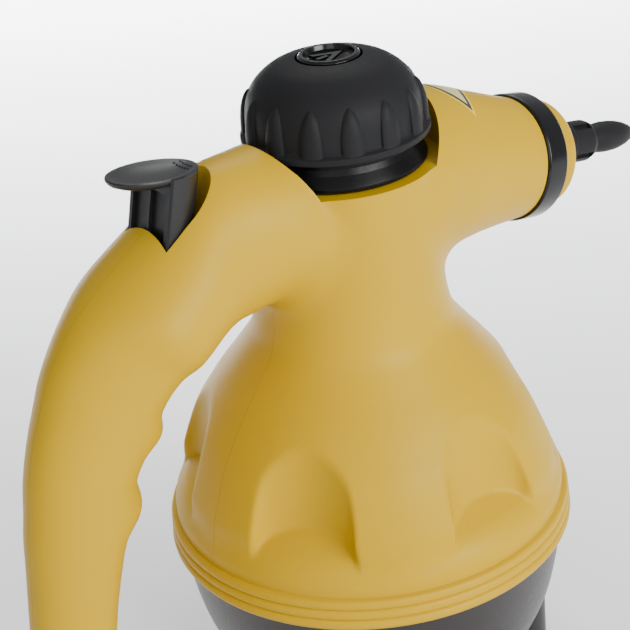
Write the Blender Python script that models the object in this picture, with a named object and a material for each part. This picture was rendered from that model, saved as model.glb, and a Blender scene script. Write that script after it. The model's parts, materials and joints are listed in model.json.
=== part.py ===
"""Handheld steam cleaner: a pear-shaped boiler housing with a pistol handle, a screwed
safety cap, a thumb button that opens the steam valve, and a bayonet nozzle.

Frame: +X towards the nozzle, +Z up, the housing's seam in the plane Y = 0.
The origin is the centre of the base's flat pad. All sizes are in metres.
"""
import math

import bmesh
import bpy
from mathutils import Matrix, Vector

MM = 0.001

# Clearances and mesh fineness
GAP = 0.3 * MM
OVERRUN = 40 * MM
MERGE = 0.01 * MM
BULB_SEGMENTS = 32
INSIDE_SEGMENTS = 26
POCKET_SEGMENTS = 40
ARCH_SEGMENTS = 22
HOLLOW_SEGMENTS = 12
TURNED_SEGMENTS = 22
SMALL_SEGMENTS = 8
WIRE_SEGMENTS = 6
ROD_PHASE = math.radians(7)

# Housing: the pear-shaped body
RIM_Z = 56 * MM
RIM_RADIUS = 65 * MM
RIM_BEAD_HEIGHT = 3.3 * MM
RIM_BEAD_DEPTH = 1.0 * MM
RIM_BEADS = 3
BULB_RADIUS = 60.6 * MM
BULB_HEIGHT = 80 * MM
NECK_RADIUS = 29.2 * MM
WALL = 2.5 * MM
SEAM_GAP = 0.3 * MM
# Height and radius of the pear's outline, from the rim up to the neck
BULB_OUTLINE_SHARES = [
    (0.125, 1.0), (0.19, 0.993), (0.31, 0.946), (0.50, 0.866), (0.60, 0.795),
    (0.69, 0.72), (0.78, 0.628), (0.875, 0.54), (0.95, 0.50), (1.06, 0.486),
]
DENT_COUNT = 6
DENT_FIRST_ANGLE = math.radians(32)
DENT_Z = 83 * MM
DENT_HEIGHT = 22 * MM
DENT_HALF_WIDTH = 15 * MM
DENT_CORNER = 1.0 * MM
# Rows up a dent: height from its floor's edge, radius of its back wall, half width
DENT_SHARES = [(-0.68, 1.005, 1.0), (-0.30, 0.93, 1.0), (0.0, 0.865, 0.97), (0.45, 0.835, 0.80),
               (0.85, 0.802, 0.56), (1.12, 0.778, 0.36)]

# Housing: barrel, head, hump and handle, one tube along the seam plane
POCKET_Z = 178 * MM
POCKET_RADIUS = 30 * MM
FILLER_HOLE_RADIUS = 15.6 * MM
BARREL_END_X = 66.6 * MM
BARREL_END_Z = 157.4 * MM
BARREL_TILT = math.radians(-10.6)
BARREL_RADIUS = 19.7 * MM
HANDLE_REACH = 116.5 * MM
HANDLE_END_Z = 26 * MM
ARCH_Z = 168 * MM
ARCH_RADIUS = 24.5 * MM
GRIP_RADIUS = 15.5 * MM
# Barrel side of the head: distance along the barrel's axis from its mouth as a share of
# the mouth's distance from the body axis, then height and width as shares of its radius
BARREL_SHARES = [
    (0.0, 1.0, 1.0, 1.0), (0.28, 1.09, 1.09, 1.09), (0.56, 1.33, 1.26, 1.26),
    (0.86, 1.36, 1.36, 1.40),
]
# Hump: place and half sizes (up, down, across) as shares of reach, height and radius
HUMP_SHARES = [
    (-0.12, 0.998, 1.02, 0.95, 0.90), (-0.26, 1.0, 0.98, 0.88, 0.84),
    (-0.40, 0.990, 1.02, 0.88, 0.76), (-0.515, 0.962, 0.94, 0.79, 0.70),
    (-0.627, 0.9125, 0.80, 0.785, 0.665),
]
# Grip: place as shares of reach and hump height, half sizes as shares of grip radius;
# the half size below swells and shrinks to make the ridges between the fingers
GRIP_SHARES = [
    (-0.691, 0.874, 1.16, 1.07, 1.00), (-0.751, 0.823, 1.135, 1.025, 0.955),
    (-0.790, 0.780, 1.11, 1.225, 0.935), (-0.824, 0.735, 1.09, 0.985, 0.91),
    (-0.852, 0.6875, 1.085, 0.925, 0.895), (-0.872, 0.631, 1.085, 1.095, 0.875),
    (-0.889, 0.586, 1.06, 0.825, 0.865), (-0.906, 0.536, 0.995, 0.725, 0.84),
    (-0.934, 0.446, 0.915, 0.66, 0.785), (-0.961, 0.333, 0.86, 0.645, 0.74),
    (-0.987, 0.214, 0.825, 0.62, 0.71),
]
# Rounding of the handle's free end: steps along it and the radius left there
END_ROUND = 6 * MM
END_ROUND_SHARES = [(0.0, 1.0), (0.5, 0.93), (0.85, 0.75), (1.0, 0.5)]

# Thumb button: its shaft slides along an axis that leans forward
BUTTON_X = -65.3 * MM
BUTTON_Z = 190.1 * MM
BUTTON_LEAN = math.radians(14.3)
BUTTON_LENGTH = 13.2 * MM
BUTTON_HALF_WIDTH = 9.9 * MM
BUTTON_SHAFT_DEPTH = 27 * MM
BUTTON_HEAD_LAP = 5.6 * MM
BUTTON_SHAFT_CLEARANCE = 0.6 * MM
BUTTON_SLOT_LENGTH = 17.5 * MM
BUTTON_SLEEVE_WALL = 2 * MM
BUTTON_SLEEVE_DEPTH = 13 * MM
DISH_HALF_LENGTH = 13.9 * MM
DISH_HALF_WIDTH = 9.4 * MM
DISH_RISE = 6.2 * MM
DISH_TILT = math.radians(8)
DISH_THICKNESS = 3.0 * MM
DISH_HOLLOW_DEPTH = 1.8 * MM
DISH_SEGMENTS = 24
# Rows down the dish's rim: depth and size
DISH_SHARES = [(0.0, 0.98), (0.15, 1.0), (0.55, 0.985), (0.8, 0.90), (1.0, 0.72)]
PANEL_DEPTH = 1.2 * MM
PANEL_HALF_WIDTH = 7.6 * MM
PANEL_HEIGHT = 15 * MM
PANEL_TOP = 1.5 * MM
ARM_THICKNESS = 5 * MM
ARM_HALF_WIDTH = 4 * MM
ARM_TIP_RADIUS = 4.2 * MM
SHELF_DEPTH = 43 * MM
SHELF_THICKNESS = 4 * MM
SHELF_HALF_LENGTH = 6 * MM

# Base cup
BASE_TOP_OVERLAP = 6 * MM
BASE_WALL = 2.5 * MM
BASE_FLOOR = 3 * MM
PAD_HEIGHT = 2.5 * MM
PAD_RADIUS = 18 * MM
# Height and radius of the cup's outline as shares of rim height and rim radius
BASE_OUTLINE_SHARES = [
    (0.045, 0.60), (0.06, 0.655), (0.12, 0.715), (0.2, 0.752), (0.36, 0.818),
    (0.55, 0.884), (0.78, 0.928), (0.995, 0.95),
]
FOOT_RADIUS = 6 * MM
FOOT_CIRCLE = 30 * MM
FOOT_RECESS = 1.2 * MM
FOOT_COUNT = 4
POST_CIRCLE = 50 * MM
POST_RADIUS = 5.4 * MM
POST_TOP_Z = 60 * MM
POST_LEDGE_Z = 26 * MM
POST_COUNT = 4
BOSS_RADIUS = 4.2 * MM
BASE_SCREW_HEAD_RADIUS = 3.2 * MM
BASE_SCREW_RADIUS = 1.8 * MM
BASE_SCREW_REACH = 8 * MM
SCREW_HEAD_HEIGHT = 2.2 * MM
SCREW_CLEARANCE = 0.3 * MM
COUNTERBORE_CLEARANCE = 0.6 * MM

# Boiler
BOILER_RADIUS = 44 * MM
BOILER_WALL = 3 * MM
BOILER_BOTTOM_Z = 24 * MM
FLANGE_Z = 70 * MM
FLANGE_THICKNESS = 3 * MM
FLANGE_RADIUS = 52 * MM
GASKET_THICKNESS = 1 * MM
GASKET_WIDTH = 2.6 * MM
DOME_HEIGHT = 52 * MM
DOME_NECK_RADIUS = 18 * MM
DOME_SHARES = [(0.0, 1.0), (0.17, 0.98), (0.38, 0.91), (0.61, 0.77), (0.81, 0.55)]
BOILER_SCREW_RADIUS = 1.4 * MM
BOILER_SCREW_HEAD_RADIUS = 2.3 * MM
BOILER_SCREW_COUNT = 6
FILLER_RADIUS = 14.2 * MM
FILLER_BORE_RADIUS = 12.0 * MM
FILLER_TOP_Z = 185 * MM
FILLER_STUB_RADIUS = 11.6 * MM
FILLER_NUT_RADIUS = 15 * MM
FILLER_NUT_HEIGHT = 4 * MM
FILLER_LIP = 2.5 * MM

# Heater, thermostat and wiring
HEATER_RADIUS = 27 * MM
HEATER_TUBE_RADIUS = 3.3 * MM
HEATER_ARC = math.radians(300)
HEATER_LEG = 5 * MM
THERMOSTAT_RADIUS = 8 * MM
THERMOSTAT_HEIGHT = 6 * MM
FUSE_RADIUS = 2.2 * MM
FUSE_LENGTH = 13 * MM
FUSE_Y = 14 * MM
BLOCK_SIZE = (12 * MM, 24 * MM, 9 * MM)
BLOCK_X = -26 * MM
LEAD_RADIUS = 1.5 * MM

# Steam valve and pipe
VALVE_X = -21 * MM
VALVE_RADIUS = 5.4 * MM
VALVE_FOOT_RADIUS = 5.6 * MM
VALVE_FOOT_Z = 130 * MM
VALVE_TOP_Z = 150 * MM
PLUNGER_RADIUS = 2.0 * MM
PLUNGER_BORE_RADIUS = 2.3 * MM
PLUNGER_BOTTOM_Z = 138 * MM
PLUNGER_TOP_Z = 165.2 * MM
PLUNGER_COLLAR_RADIUS = 4.2 * MM
PLUNGER_COLLAR_HEIGHT = 1.6 * MM
VALVE_SEAL_HEIGHT = 1.2 * MM
PIPE_RADIUS = 2.0 * MM
PIPE_RING_RADIUS = 20.4 * MM
PIPE_Z = 146 * MM

# Cap
FLANGE_BOTTOM_Z = 187.6 * MM
CAP_RADIUS = 27.9 * MM
CAP_HEIGHT = 23.2 * MM
CAP_WALL = 2.0 * MM
CAP_EDGE = 2.4 * MM
CAP_OUTLINE_SHARES = [
    (0.115, 0.935), (0.40, 0.925), (0.565, 0.875), (0.735, 0.765), (0.875, 0.62),
    (0.965, 0.47), (1.0, 0.37),
]
CAP_RIBS = 14
CAP_RIB_PHASE = math.radians(-92.4)
CAP_RIB_HALF_WIDTH = 2.5 * MM
CAP_RIB_HEIGHT = 12.5 * MM
# Rows up a rib: height, radius of its face, width
CAP_RIB_SHARES = [(0.0, 0.995, 1.0), (0.55, 0.97, 0.95), (0.8, 0.925, 0.75), (1.0, 0.855, 0.25)]
KNOB_SLEEVE_RADIUS = 12.2 * MM
KNOB_SLEEVE_DEPTH = 12 * MM
INSERT_RADIUS = 9.1 * MM
INSERT_HEIGHT = 4.5 * MM
INSERT_RING = 1.7 * MM
INSERT_PROUD = 0.8 * MM
PLUG_FLANGE_RADIUS = 16.5 * MM
PLUG_FLANGE_THICKNESS = 3 * MM
PLUG_SHANK_DEPTH = 17 * MM
PLUG_HUB_RADIUS = 9.6 * MM
PLUG_BORE_RADIUS = 5 * MM
PLUG_VENT_RADIUS = 1.2 * MM
SEAL_THICKNESS = 1.4 * MM
THREAD_CLEARANCE = 0.4 * MM
POPPET_RADIUS = 4.4 * MM
POPPET_THICKNESS = 2.5 * MM
POPPET_STEM_RADIUS = 1.6 * MM
POPPET_STEM_LENGTH = 11 * MM
PLUG_SEAT_THICKNESS = 4 * MM
COLLAR_RADIUS = 26.4 * MM
COLLAR_TOP_RADIUS = 23.6 * MM
COLLAR_WALL = 1.8 * MM
COLLAR_EDGE = 1.8 * MM

# Barrel end and nozzle, measured along the barrel's axis from its mouth
RING_LENGTH = 8.5 * MM
RING_RADIUS = 20.5 * MM
END_CAP_LENGTH = 7.8 * MM
END_CAP_RADIUS = 17.5 * MM
END_CAP_WALL = 2.3 * MM
END_CAP_ROUND = 2.6 * MM
NOZZLE_RISE = 1.4 * MM
SPIGOT_DEPTH = 7 * MM
SOCKET_RADIUS = 8 * MM
SOCKET_LENGTH = 10 * MM
SOCKET_FLANGE_RADIUS = 11.4 * MM
SOCKET_FLANGE_THICKNESS = 2.3 * MM
SOCKET_BORE_RADIUS = 5.2 * MM
SOCKET_STUB_RADIUS = 4 * MM
SOCKET_STUB_LENGTH = 8 * MM
SOCKET_BORE_DEPTH = 13 * MM
SHANK_RADIUS = 4.9 * MM
SPOUT_BASE_RADIUS = 6.9 * MM
SPOUT_BASE_LENGTH = 11.5 * MM
SPOUT_LENGTH = 22 * MM
SPOUT_RADIUS = 4.6 * MM
SPOUT_BORE_RADIUS = 1.0 * MM
SPOUT_SHARES = [(0.06, 0.85), (0.20, 0.95), (0.36, 1.0), (0.66, 0.93), (0.86, 0.66), (0.97, 0.40),
                (1.0, 0.30)]
NOZZLE_SEAL_THICKNESS = 1.4 * MM

# Springs
VALVE_SPRING_RADIUS = 3.3 * MM
VALVE_SPRING_WIRE = 0.45 * MM
VALVE_SPRING_TURNS = 5
BUTTON_SPRING_RADIUS = 4.0 * MM
BUTTON_SPRING_WIRE = 0.5 * MM
BUTTON_SPRING_TURNS = 6
KNOB_SPRING_RADIUS = 14.0 * MM
KNOB_SPRING_WIRE = 0.6 * MM
KNOB_SPRING_TURNS = 4
RELIEF_SPRING_RADIUS = 3.4 * MM
RELIEF_SPRING_WIRE = 0.45 * MM
RELIEF_SPRING_TURNS = 6
TURN_POINTS = 8

# Housing screws: place in the seam plane as shares of (reach, hump height)
HOUSING_SCREW_SHARES = {"grip_low": (-0.955, 0.36), "grip_high": (-0.775, 0.80),
                        "hump": (-0.335, 1.06), "barrel": (0.33, 0.880)}
HOUSING_SCREW_RADIUS = 1.4 * MM
HOUSING_SCREW_HEAD_RADIUS = 2.8 * MM
HOUSING_SCREW_HALF_LENGTH = 7 * MM
HOUSING_BOSS_RADIUS = 3.6 * MM

# Cord entry at the handle's free end
CORD_HOLE_RADIUS = 3.4 * MM
GLAND_RADIUS = 4.8 * MM
GLAND_FLANGE_RADIUS = 6.6 * MM
GLAND_FLANGE_THICKNESS = 2.2 * MM
GLAND_LENGTH = 9 * MM
CLAMP_SIZE = (7 * MM, 12 * MM, 4 * MM)
CLAMP_LIFT = 3 * MM
RIB_THICKNESS = 1.6 * MM
RIB_HOLE_RADIUS = 3.2 * MM
# Path of the inner lead: shares of handle reach, of barrel width and of hump height
LEAD_SHARES = [
    (-1.0, 0.0, 0.225), (-1.0, 0.0, 0.27), (-1.012, 0.0, 0.36), (-0.975, 0.0, 0.46),
    (-0.935, 0.0, 0.62), (-0.865, -0.08, 0.765), (-0.77, -0.32, 0.86), (-0.665, -0.48, 0.915),
    (-0.52, -0.48, 0.925), (-0.35, -0.48, 0.94), (-0.26, -0.50, 0.945), (-0.19, -0.55, 0.925),
    (-0.178, -0.57, 0.86), (-0.185, -0.59, 0.79),
    (-0.25, -0.50, 0.72), (-0.352, -0.35, 0.63), (-0.442, -0.22, 0.50), (-0.467, -0.20, 0.41),
    (-0.445, -0.20, 0.28), (-0.385, -0.20, 0.16), (-0.33, -0.22, 0.085), (-0.279, -0.22, 0.066),
]


# Scene and materials

for old in list(bpy.data.objects):
    bpy.data.objects.remove(old, do_unlink=True)


def linear(hex_colour):
    """Turn an sRGB hex colour into the linear values that a shader takes."""
    values = [int(hex_colour[i:i + 2], 16) / 255 for i in (0, 2, 4)]
    return [v / 12.92 if v <= 0.04045 else ((v + 0.055) / 1.055) ** 2.4 for v in values]


FINISHES = {
    "yellow_plastic": ("FDD31F", 0.34, 0.0), "black_matte_plastic": ("2E2E2F", 0.55, 0.0),
    "black_gloss_plastic": ("141414", 0.18, 0.0), "base_plastic": ("3A3637", 0.38, 0.0),
    "rubber": ("1C1C1C", 0.85, 0.0), "silicone": ("A33A24", 0.6, 0.0),
    "aluminium": ("B9BCBF", 0.38, 1.0), "brass": ("C49A45", 0.3, 1.0),
    "steel": ("A8A9AA", 0.3, 1.0), "cream_plastic": ("DAD4C2", 0.45, 0.0),
    "lead_sheath": ("8A8D90", 0.6, 0.0),
}


def material(name, finish):
    """Make one object's own Principled material."""
    colour, roughness, metallic = FINISHES[finish]
    made = bpy.data.materials.new(name + "_" + finish)
    made.use_nodes = True
    shader = made.node_tree.nodes["Principled BSDF"]
    shader.inputs["Base Color"].default_value = (*linear(colour), 1)
    shader.inputs["Roughness"].default_value = roughness
    shader.inputs["Metallic"].default_value = metallic
    return made


# Mesh helpers

def place(name, mesh, finish=None, parent=None):
    """Link a mesh as a named object; without a finish it is a hidden cutter."""
    made = bpy.data.objects.new(name, mesh)
    bpy.context.collection.objects.link(made)
    if finish:
        made.data.materials.append(material(name, finish))
        made.data.shade_smooth()
        made.data.set_sharp_from_angle(angle=math.radians(35))
    else:
        made.hide_render = True
        made.display_type = "WIRE"
    if parent:
        made.parent = parent
        made.matrix_parent_inverse = parent.matrix_world.inverted()
    return made


def mesh_from(bm, name):
    """Close, orient and store a bmesh."""
    bmesh.ops.remove_doubles(bm, verts=bm.verts, dist=MERGE)
    bmesh.ops.recalc_face_normals(bm, faces=bm.faces)
    mesh = bpy.data.meshes.new(name)
    bm.to_mesh(mesh)
    bm.free()
    return mesh


def turned(name, outline, where=None, segments=TURNED_SEGMENTS, phase=0):
    """Turn a closed outline of (radius, height) points about Z, then place it."""
    bm = bmesh.new()
    points = [bm.verts.new((radius, 0, height)) for radius, height in outline]
    edges = [bm.edges.new(pair) for pair in zip(points, points[1:])]
    if outline[0][0] > 0 or outline[-1][0] > 0:
        edges.append(bm.edges.new((points[-1], points[0])))
    if phase:
        bmesh.ops.rotate(bm, matrix=Matrix.Rotation(phase, 3, "Z"), verts=points)
    bmesh.ops.spin(bm, geom=points + edges, cent=(0, 0, 0), axis=(0, 0, 1), dvec=(0, 0, 0),
                   angle=2 * math.pi, steps=segments, use_merge=True, use_duplicate=False)
    if where:
        bmesh.ops.transform(bm, matrix=where, verts=bm.verts)
    return mesh_from(bm, name)


def lofted(name, sections, where=None):
    """Skin a row of closed sections that all have the same number of points."""
    bm = bmesh.new()
    rings = [[bm.verts.new(point) for point in section] for section in sections]
    count = len(rings[0])
    for one, two in zip(rings, rings[1:]):
        for i in range(count):
            j = (i + 1) % count
            bm.faces.new((one[i], one[j], two[j], two[i]))
    bm.faces.new(rings[0][::-1])
    bm.faces.new(rings[-1])
    if where:
        bmesh.ops.transform(bm, matrix=where, verts=bm.verts)
    return mesh_from(bm, name)


def box(name, low, high, where=None):
    """Make a box between two corners."""
    centre = (Vector(low) + Vector(high)) / 2
    size = Vector(high) - Vector(low)
    bm = bmesh.new()
    bmesh.ops.create_cube(bm, size=1, matrix=Matrix.Translation(centre) @ Matrix.Diagonal((*size, 1)))
    if where:
        bmesh.ops.transform(bm, matrix=where, verts=bm.verts)
    return mesh_from(bm, name)


def rod(name, radius, low, high, where=None, segments=SMALL_SEGMENTS):
    """Make a plain cylinder along Z between two heights."""
    return turned(name, [(0, low), (radius, low), (radius, high), (0, high)], where, segments, ROD_PHASE)


def stepped_hole(name, radius, wide_radius, levels, where):
    """Cutter for a screw: its narrow end, the ledge under its head, and the way out."""
    narrow_end, ledge, way_out = levels
    return turned(name, [(0, narrow_end), (radius, narrow_end), (radius, ledge), (wide_radius, ledge),
                         (wide_radius, way_out), (0, way_out)], where, SMALL_SEGMENTS, ROD_PHASE)


def tube_along(name, points, radius, segments=WIRE_SEGMENTS):
    """Sweep a round section along a row of points, without twisting it."""
    path = [Vector(p) for p in points]
    ahead = [(path[min(i + 1, len(path) - 1)] - path[max(i - 1, 0)]).normalized()
             for i in range(len(path))]
    side = ahead[0].orthogonal().normalized()
    sections = []
    for point, direction in zip(path, ahead):
        side = (side - direction * side.dot(direction)).normalized()
        other = direction.cross(side)
        sections.append([point + radius * (math.cos(a) * side + math.sin(a) * other)
                         for a in (2 * math.pi * k / segments for k in range(segments))])
    return lofted(name, sections)


def curve_through(points, per_span):
    """Read a smooth curve through the given rows of numbers (Catmull-Rom)."""
    rows = [points[0]] + list(points) + [points[-1]]
    out = []
    for i in range(1, len(rows) - 2):
        a, b, c, d = rows[i - 1:i + 3]
        for k in range(per_span):
            t = k / per_span
            out.append(tuple(
                0.5 * (2 * q + (r - p) * t + (2 * p - 5 * q + 4 * r - s) * t * t
                       + (3 * q - p - 3 * r + s) * t ** 3)
                for p, q, r, s in zip(a, b, c, d)))
    return out + [tuple(points[-1])]


def spring(name, radius, wire, turns, low, high, where=None):
    """Make one unbroken helix whose ends lie just clear of its two seats."""
    first, last = low + wire, high - wire
    count = turns * TURN_POINTS
    points = []
    for k in range(count + 1):
        angle = 2 * math.pi * k / TURN_POINTS
        height = first + (last - first) * k / count
        points.append(Vector((radius * math.cos(angle), radius * math.sin(angle), height)))
    least = (last - first) / turns - 2 * wire
    print(name, "least gap between turns in mm:", round(least / MM, 2))
    if where:
        points = [where @ point for point in points]
    return tube_along(name, points, wire, segments=4)


def boolean(target, mesh, operation="DIFFERENCE"):
    """Add a live Boolean with a hidden cutter made from the mesh."""
    cutter = place(target.name + "_cutter", mesh)
    change = target.modifiers.new(operation.lower(), "BOOLEAN")
    change.operation = operation
    change.solver = "EXACT"
    change.object = cutter
    return target


def evaluated(target):
    """Return the mesh of an object with its modifiers applied."""
    graph = bpy.context.evaluated_depsgraph_get()
    return bpy.data.meshes.new_from_object(target.evaluated_get(graph))


def cleaned(mesh):
    """Merge the near-identical points that a chain of Booleans leaves behind."""
    bm = bmesh.new()
    bm.from_mesh(mesh)
    bmesh.ops.remove_doubles(bm, verts=bm.verts, dist=MERGE)
    bmesh.ops.dissolve_degenerate(bm, edges=bm.edges, dist=MERGE)
    bm.to_mesh(mesh)
    bm.free()
    return mesh


def joint_empty(name, location, axis=(0, 0, 1)):
    """Make an empty that stands on a joint's axis."""
    made = bpy.data.objects.new(name, None)
    turn = Vector((0, 0, 1)).rotation_difference(Vector(axis)).to_matrix().to_4x4()
    made.matrix_world = Matrix.Translation(location) @ turn
    bpy.context.collection.objects.link(made)
    bpy.context.view_layer.update()
    return made


# Shared frames

barrel_direction = Vector((math.cos(BARREL_TILT), 0, math.sin(BARREL_TILT)))
barrel_mouth = Vector((BARREL_END_X, 0, BARREL_END_Z))
barrel_frame = (Matrix.Translation(barrel_mouth)
                @ Vector((0, 0, 1)).rotation_difference(barrel_direction).to_matrix().to_4x4())
nozzle_frame = barrel_frame @ Matrix.Translation((-NOZZLE_RISE, 0, 0))
button_up = Vector((math.sin(BUTTON_LEAN), 0, math.cos(BUTTON_LEAN)))
button_frame = (Matrix.Translation((BUTTON_X, 0, BUTTON_Z))
                @ Matrix.Rotation(BUTTON_LEAN, 4, "Y"))


def turned_about(angle):
    """Rotation about the body's axis."""
    return Matrix.Rotation(angle, 4, "Z")


# Housing shapes

def arch_stations(per_span):
    """Centre, half height above, half height below and half width along the tube."""
    rows = []
    for along, up, down, across in BARREL_SHARES:
        centre = barrel_mouth - barrel_direction * (along * BARREL_END_X)
        rows.append((centre.x, centre.z, up * BARREL_RADIUS, down * BARREL_RADIUS,
                     across * BARREL_RADIUS))
    for x, z, up, down, across in HUMP_SHARES:
        rows.append((x * HANDLE_REACH, z * ARCH_Z, up * ARCH_RADIUS, down * ARCH_RADIUS,
                     across * ARCH_RADIUS))
    for x, z, up, down, across in GRIP_SHARES:
        rows.append((x * HANDLE_REACH, z * ARCH_Z, up * GRIP_RADIUS, down * GRIP_RADIUS,
                     across * GRIP_RADIUS))
    last = rows[-1]
    rows.append((-HANDLE_REACH, HANDLE_END_Z + END_ROUND) + last[2:])
    return curve_through(rows, per_span)


def arch_mesh(name, inset):
    """The barrel, hump and handle as one swept tube, drawn in by the inset."""
    rows = arch_stations(1 if inset else 2)
    around = HOLLOW_SEGMENTS if inset else ARCH_SEGMENTS
    if inset:
        # The hollow runs out of the barrel's mouth and stops a wall short of the end
        first = rows[0]
        out = Vector((first[0], 0, first[1])) + barrel_direction * OVERRUN
        rows = [(out.x, out.z) + first[2:]] + rows
    else:
        end = rows[-1]
        for along, left in END_ROUND_SHARES[1:]:
            rows.append((end[0], end[1] - along * END_ROUND) + tuple(v * left for v in end[2:]))
    sections = []
    for i, (x, z, up, down, across) in enumerate(rows):
        before, after = rows[max(i - 1, 0)], rows[min(i + 1, len(rows) - 1)]
        ahead = Vector((after[0] - before[0], 0, after[1] - before[1])).normalized()
        if i == 0:
            ahead = -barrel_direction
        normal = Vector((ahead.z, 0, -ahead.x))
        section = []
        for k in range(around):
            angle = 2 * math.pi * k / around
            half = up if math.cos(angle) > 0 else down
            point = Vector((x, 0, z)) + normal * ((half - inset) * math.cos(angle))
            point.y = (across - inset) * math.sin(angle)
            section.append(point)
        sections.append(section)
    return lofted(name, sections)


def pear_outline(inset):
    """Radius and height of the pear from the rim up into the neck."""
    rows = [(RIM_Z + h * BULB_HEIGHT, r * BULB_RADIUS) for h, r in BULB_OUTLINE_SHARES[:-1]]
    rows.append((RIM_Z + BULB_OUTLINE_SHARES[-1][0] * BULB_HEIGHT, NECK_RADIUS))
    smooth = curve_through(rows, 1 if inset else 2)
    return [(radius - inset, height) for height, radius in smooth]


def pear_mesh(name):
    """Outside of the pear with its three rim beads, solid to the axis."""
    outline = [(0, RIM_Z), (RIM_RADIUS - RIM_BEAD_DEPTH, RIM_Z)]
    for bead in range(RIM_BEADS):
        low = RIM_Z + bead * RIM_BEAD_HEIGHT
        outline.append((RIM_RADIUS, low + RIM_BEAD_HEIGHT / 4))
        outline.append((RIM_RADIUS, low + RIM_BEAD_HEIGHT * 3 / 4))
        outline.append((RIM_RADIUS - RIM_BEAD_DEPTH, low + RIM_BEAD_HEIGHT))
    outline += pear_outline(0)
    # The top edge is bevelled and runs on above the pocket's floor, which cuts it off
    outline += [(NECK_RADIUS, POCKET_Z - WALL / 2), (NECK_RADIUS - WALL, POCKET_Z + 3 * WALL / 2),
                (0, POCKET_Z + 3 * WALL / 2)]
    return turned(name, outline, segments=BULB_SEGMENTS, phase=math.pi / BULB_SEGMENTS)


def pear_hollow(name):
    """Inside of the pear, open below the rim."""
    rim_inside = RIM_RADIUS - RIM_BEAD_DEPTH - WALL + GAP
    outline = [(0, RIM_Z - OVERRUN), (rim_inside, RIM_Z - OVERRUN),
               (rim_inside, RIM_Z + BASE_TOP_OVERLAP + GAP),
               (BULB_RADIUS - WALL, RIM_Z + BASE_TOP_OVERLAP + GAP + WALL)]
    outline += [point for point in pear_outline(WALL) if point[1] > outline[-1][1] + WALL]
    outline += [(NECK_RADIUS - WALL, POCKET_Z + WALL), (0, POCKET_Z + WALL)]
    return turned(name, outline, segments=INSIDE_SEGMENTS, phase=math.pi / INSIDE_SEGMENTS)


def dent_mesh(name, grow, where):
    """A thumb dent: a steep back wall above a floor that ramps out to the surface."""
    sections = []
    for height, radius, width in DENT_SHARES:
        back = radius * BULB_RADIUS - grow
        half = width * DENT_HALF_WIDTH + grow
        z = DENT_Z + height * DENT_HEIGHT + (grow if height > 0 else -grow) / 2
        out = BULB_RADIUS + DENT_HALF_WIDTH
        sections.append([Vector((x, y * half, z)) for x, y in (
            (back, -0.55), (back + DENT_CORNER, -0.87), (back + 3 * DENT_CORNER, -1.0), (out, -1.1),
            (out, 1.1), (back + 3 * DENT_CORNER, 1.0), (back + DENT_CORNER, 0.87), (back, 0.55))])
    return lofted(name, sections, where)


def dent_places():
    """Turns of the dents about the body's axis, counted from the rear."""
    spacing = 2 * math.pi / DENT_COUNT
    for side in (1, -1):
        for k in range(DENT_COUNT // 2):
            yield turned_about(math.pi + side * (DENT_FIRST_ANGLE + k * spacing))


def button_outline(grow):
    """D-shaped outline of the button's shaft, or of its longer slot when grown."""
    half = BUTTON_HALF_WIDTH + grow
    front = (BUTTON_SLOT_LENGTH if grow else BUTTON_LENGTH) + max(grow - BUTTON_SHAFT_CLEARANCE, 0)
    centre = front - half
    points = [(-grow, half), (-grow, -half)]
    for k in range(SMALL_SEGMENTS + 3):
        angle = -math.pi / 2 + math.pi * k / (SMALL_SEGMENTS + 2)
        points.append((centre + half * math.cos(angle), half * math.sin(angle)))
    return points


def button_prism(name, grow, low, high):
    """The D outline run along the button's axis between two depths."""
    return lofted(name, [[(u, y, low) for u, y in button_outline(grow)],
                         [(u, y, high) for u, y in button_outline(grow)]], button_frame)


def post_angles():
    """Angles of the four corner posts about the body's axis."""
    return [math.pi / 4 + k * 2 * math.pi / POST_COUNT for k in range(POST_COUNT)]


def screw_places():
    """Places of the housing screws in the seam plane."""
    return {name: Vector((x * HANDLE_REACH, 0, z * ARCH_Z))
            for name, (x, z) in HOUSING_SCREW_SHARES.items()}


def at_handle_end():
    """Frame on the axis of the cord hole, at floor height."""
    return Matrix.Translation((-HANDLE_REACH, 0, 0))


def clamp_ribs():
    """Heights of the two ribs that hold the cord clamp between them."""
    low = HANDLE_END_Z + GLAND_LENGTH + CLAMP_LIFT
    high = low + CLAMP_SIZE[2]
    return [(low - GAP - RIB_THICKNESS, low - GAP), (high + GAP, high + GAP + RIB_THICKNESS)]


def across(point):
    """Frame at a point of the seam plane whose Z axis points to the left side."""
    return Matrix.Translation(point) @ Matrix.Rotation(-math.pi / 2, 4, "X")


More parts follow.
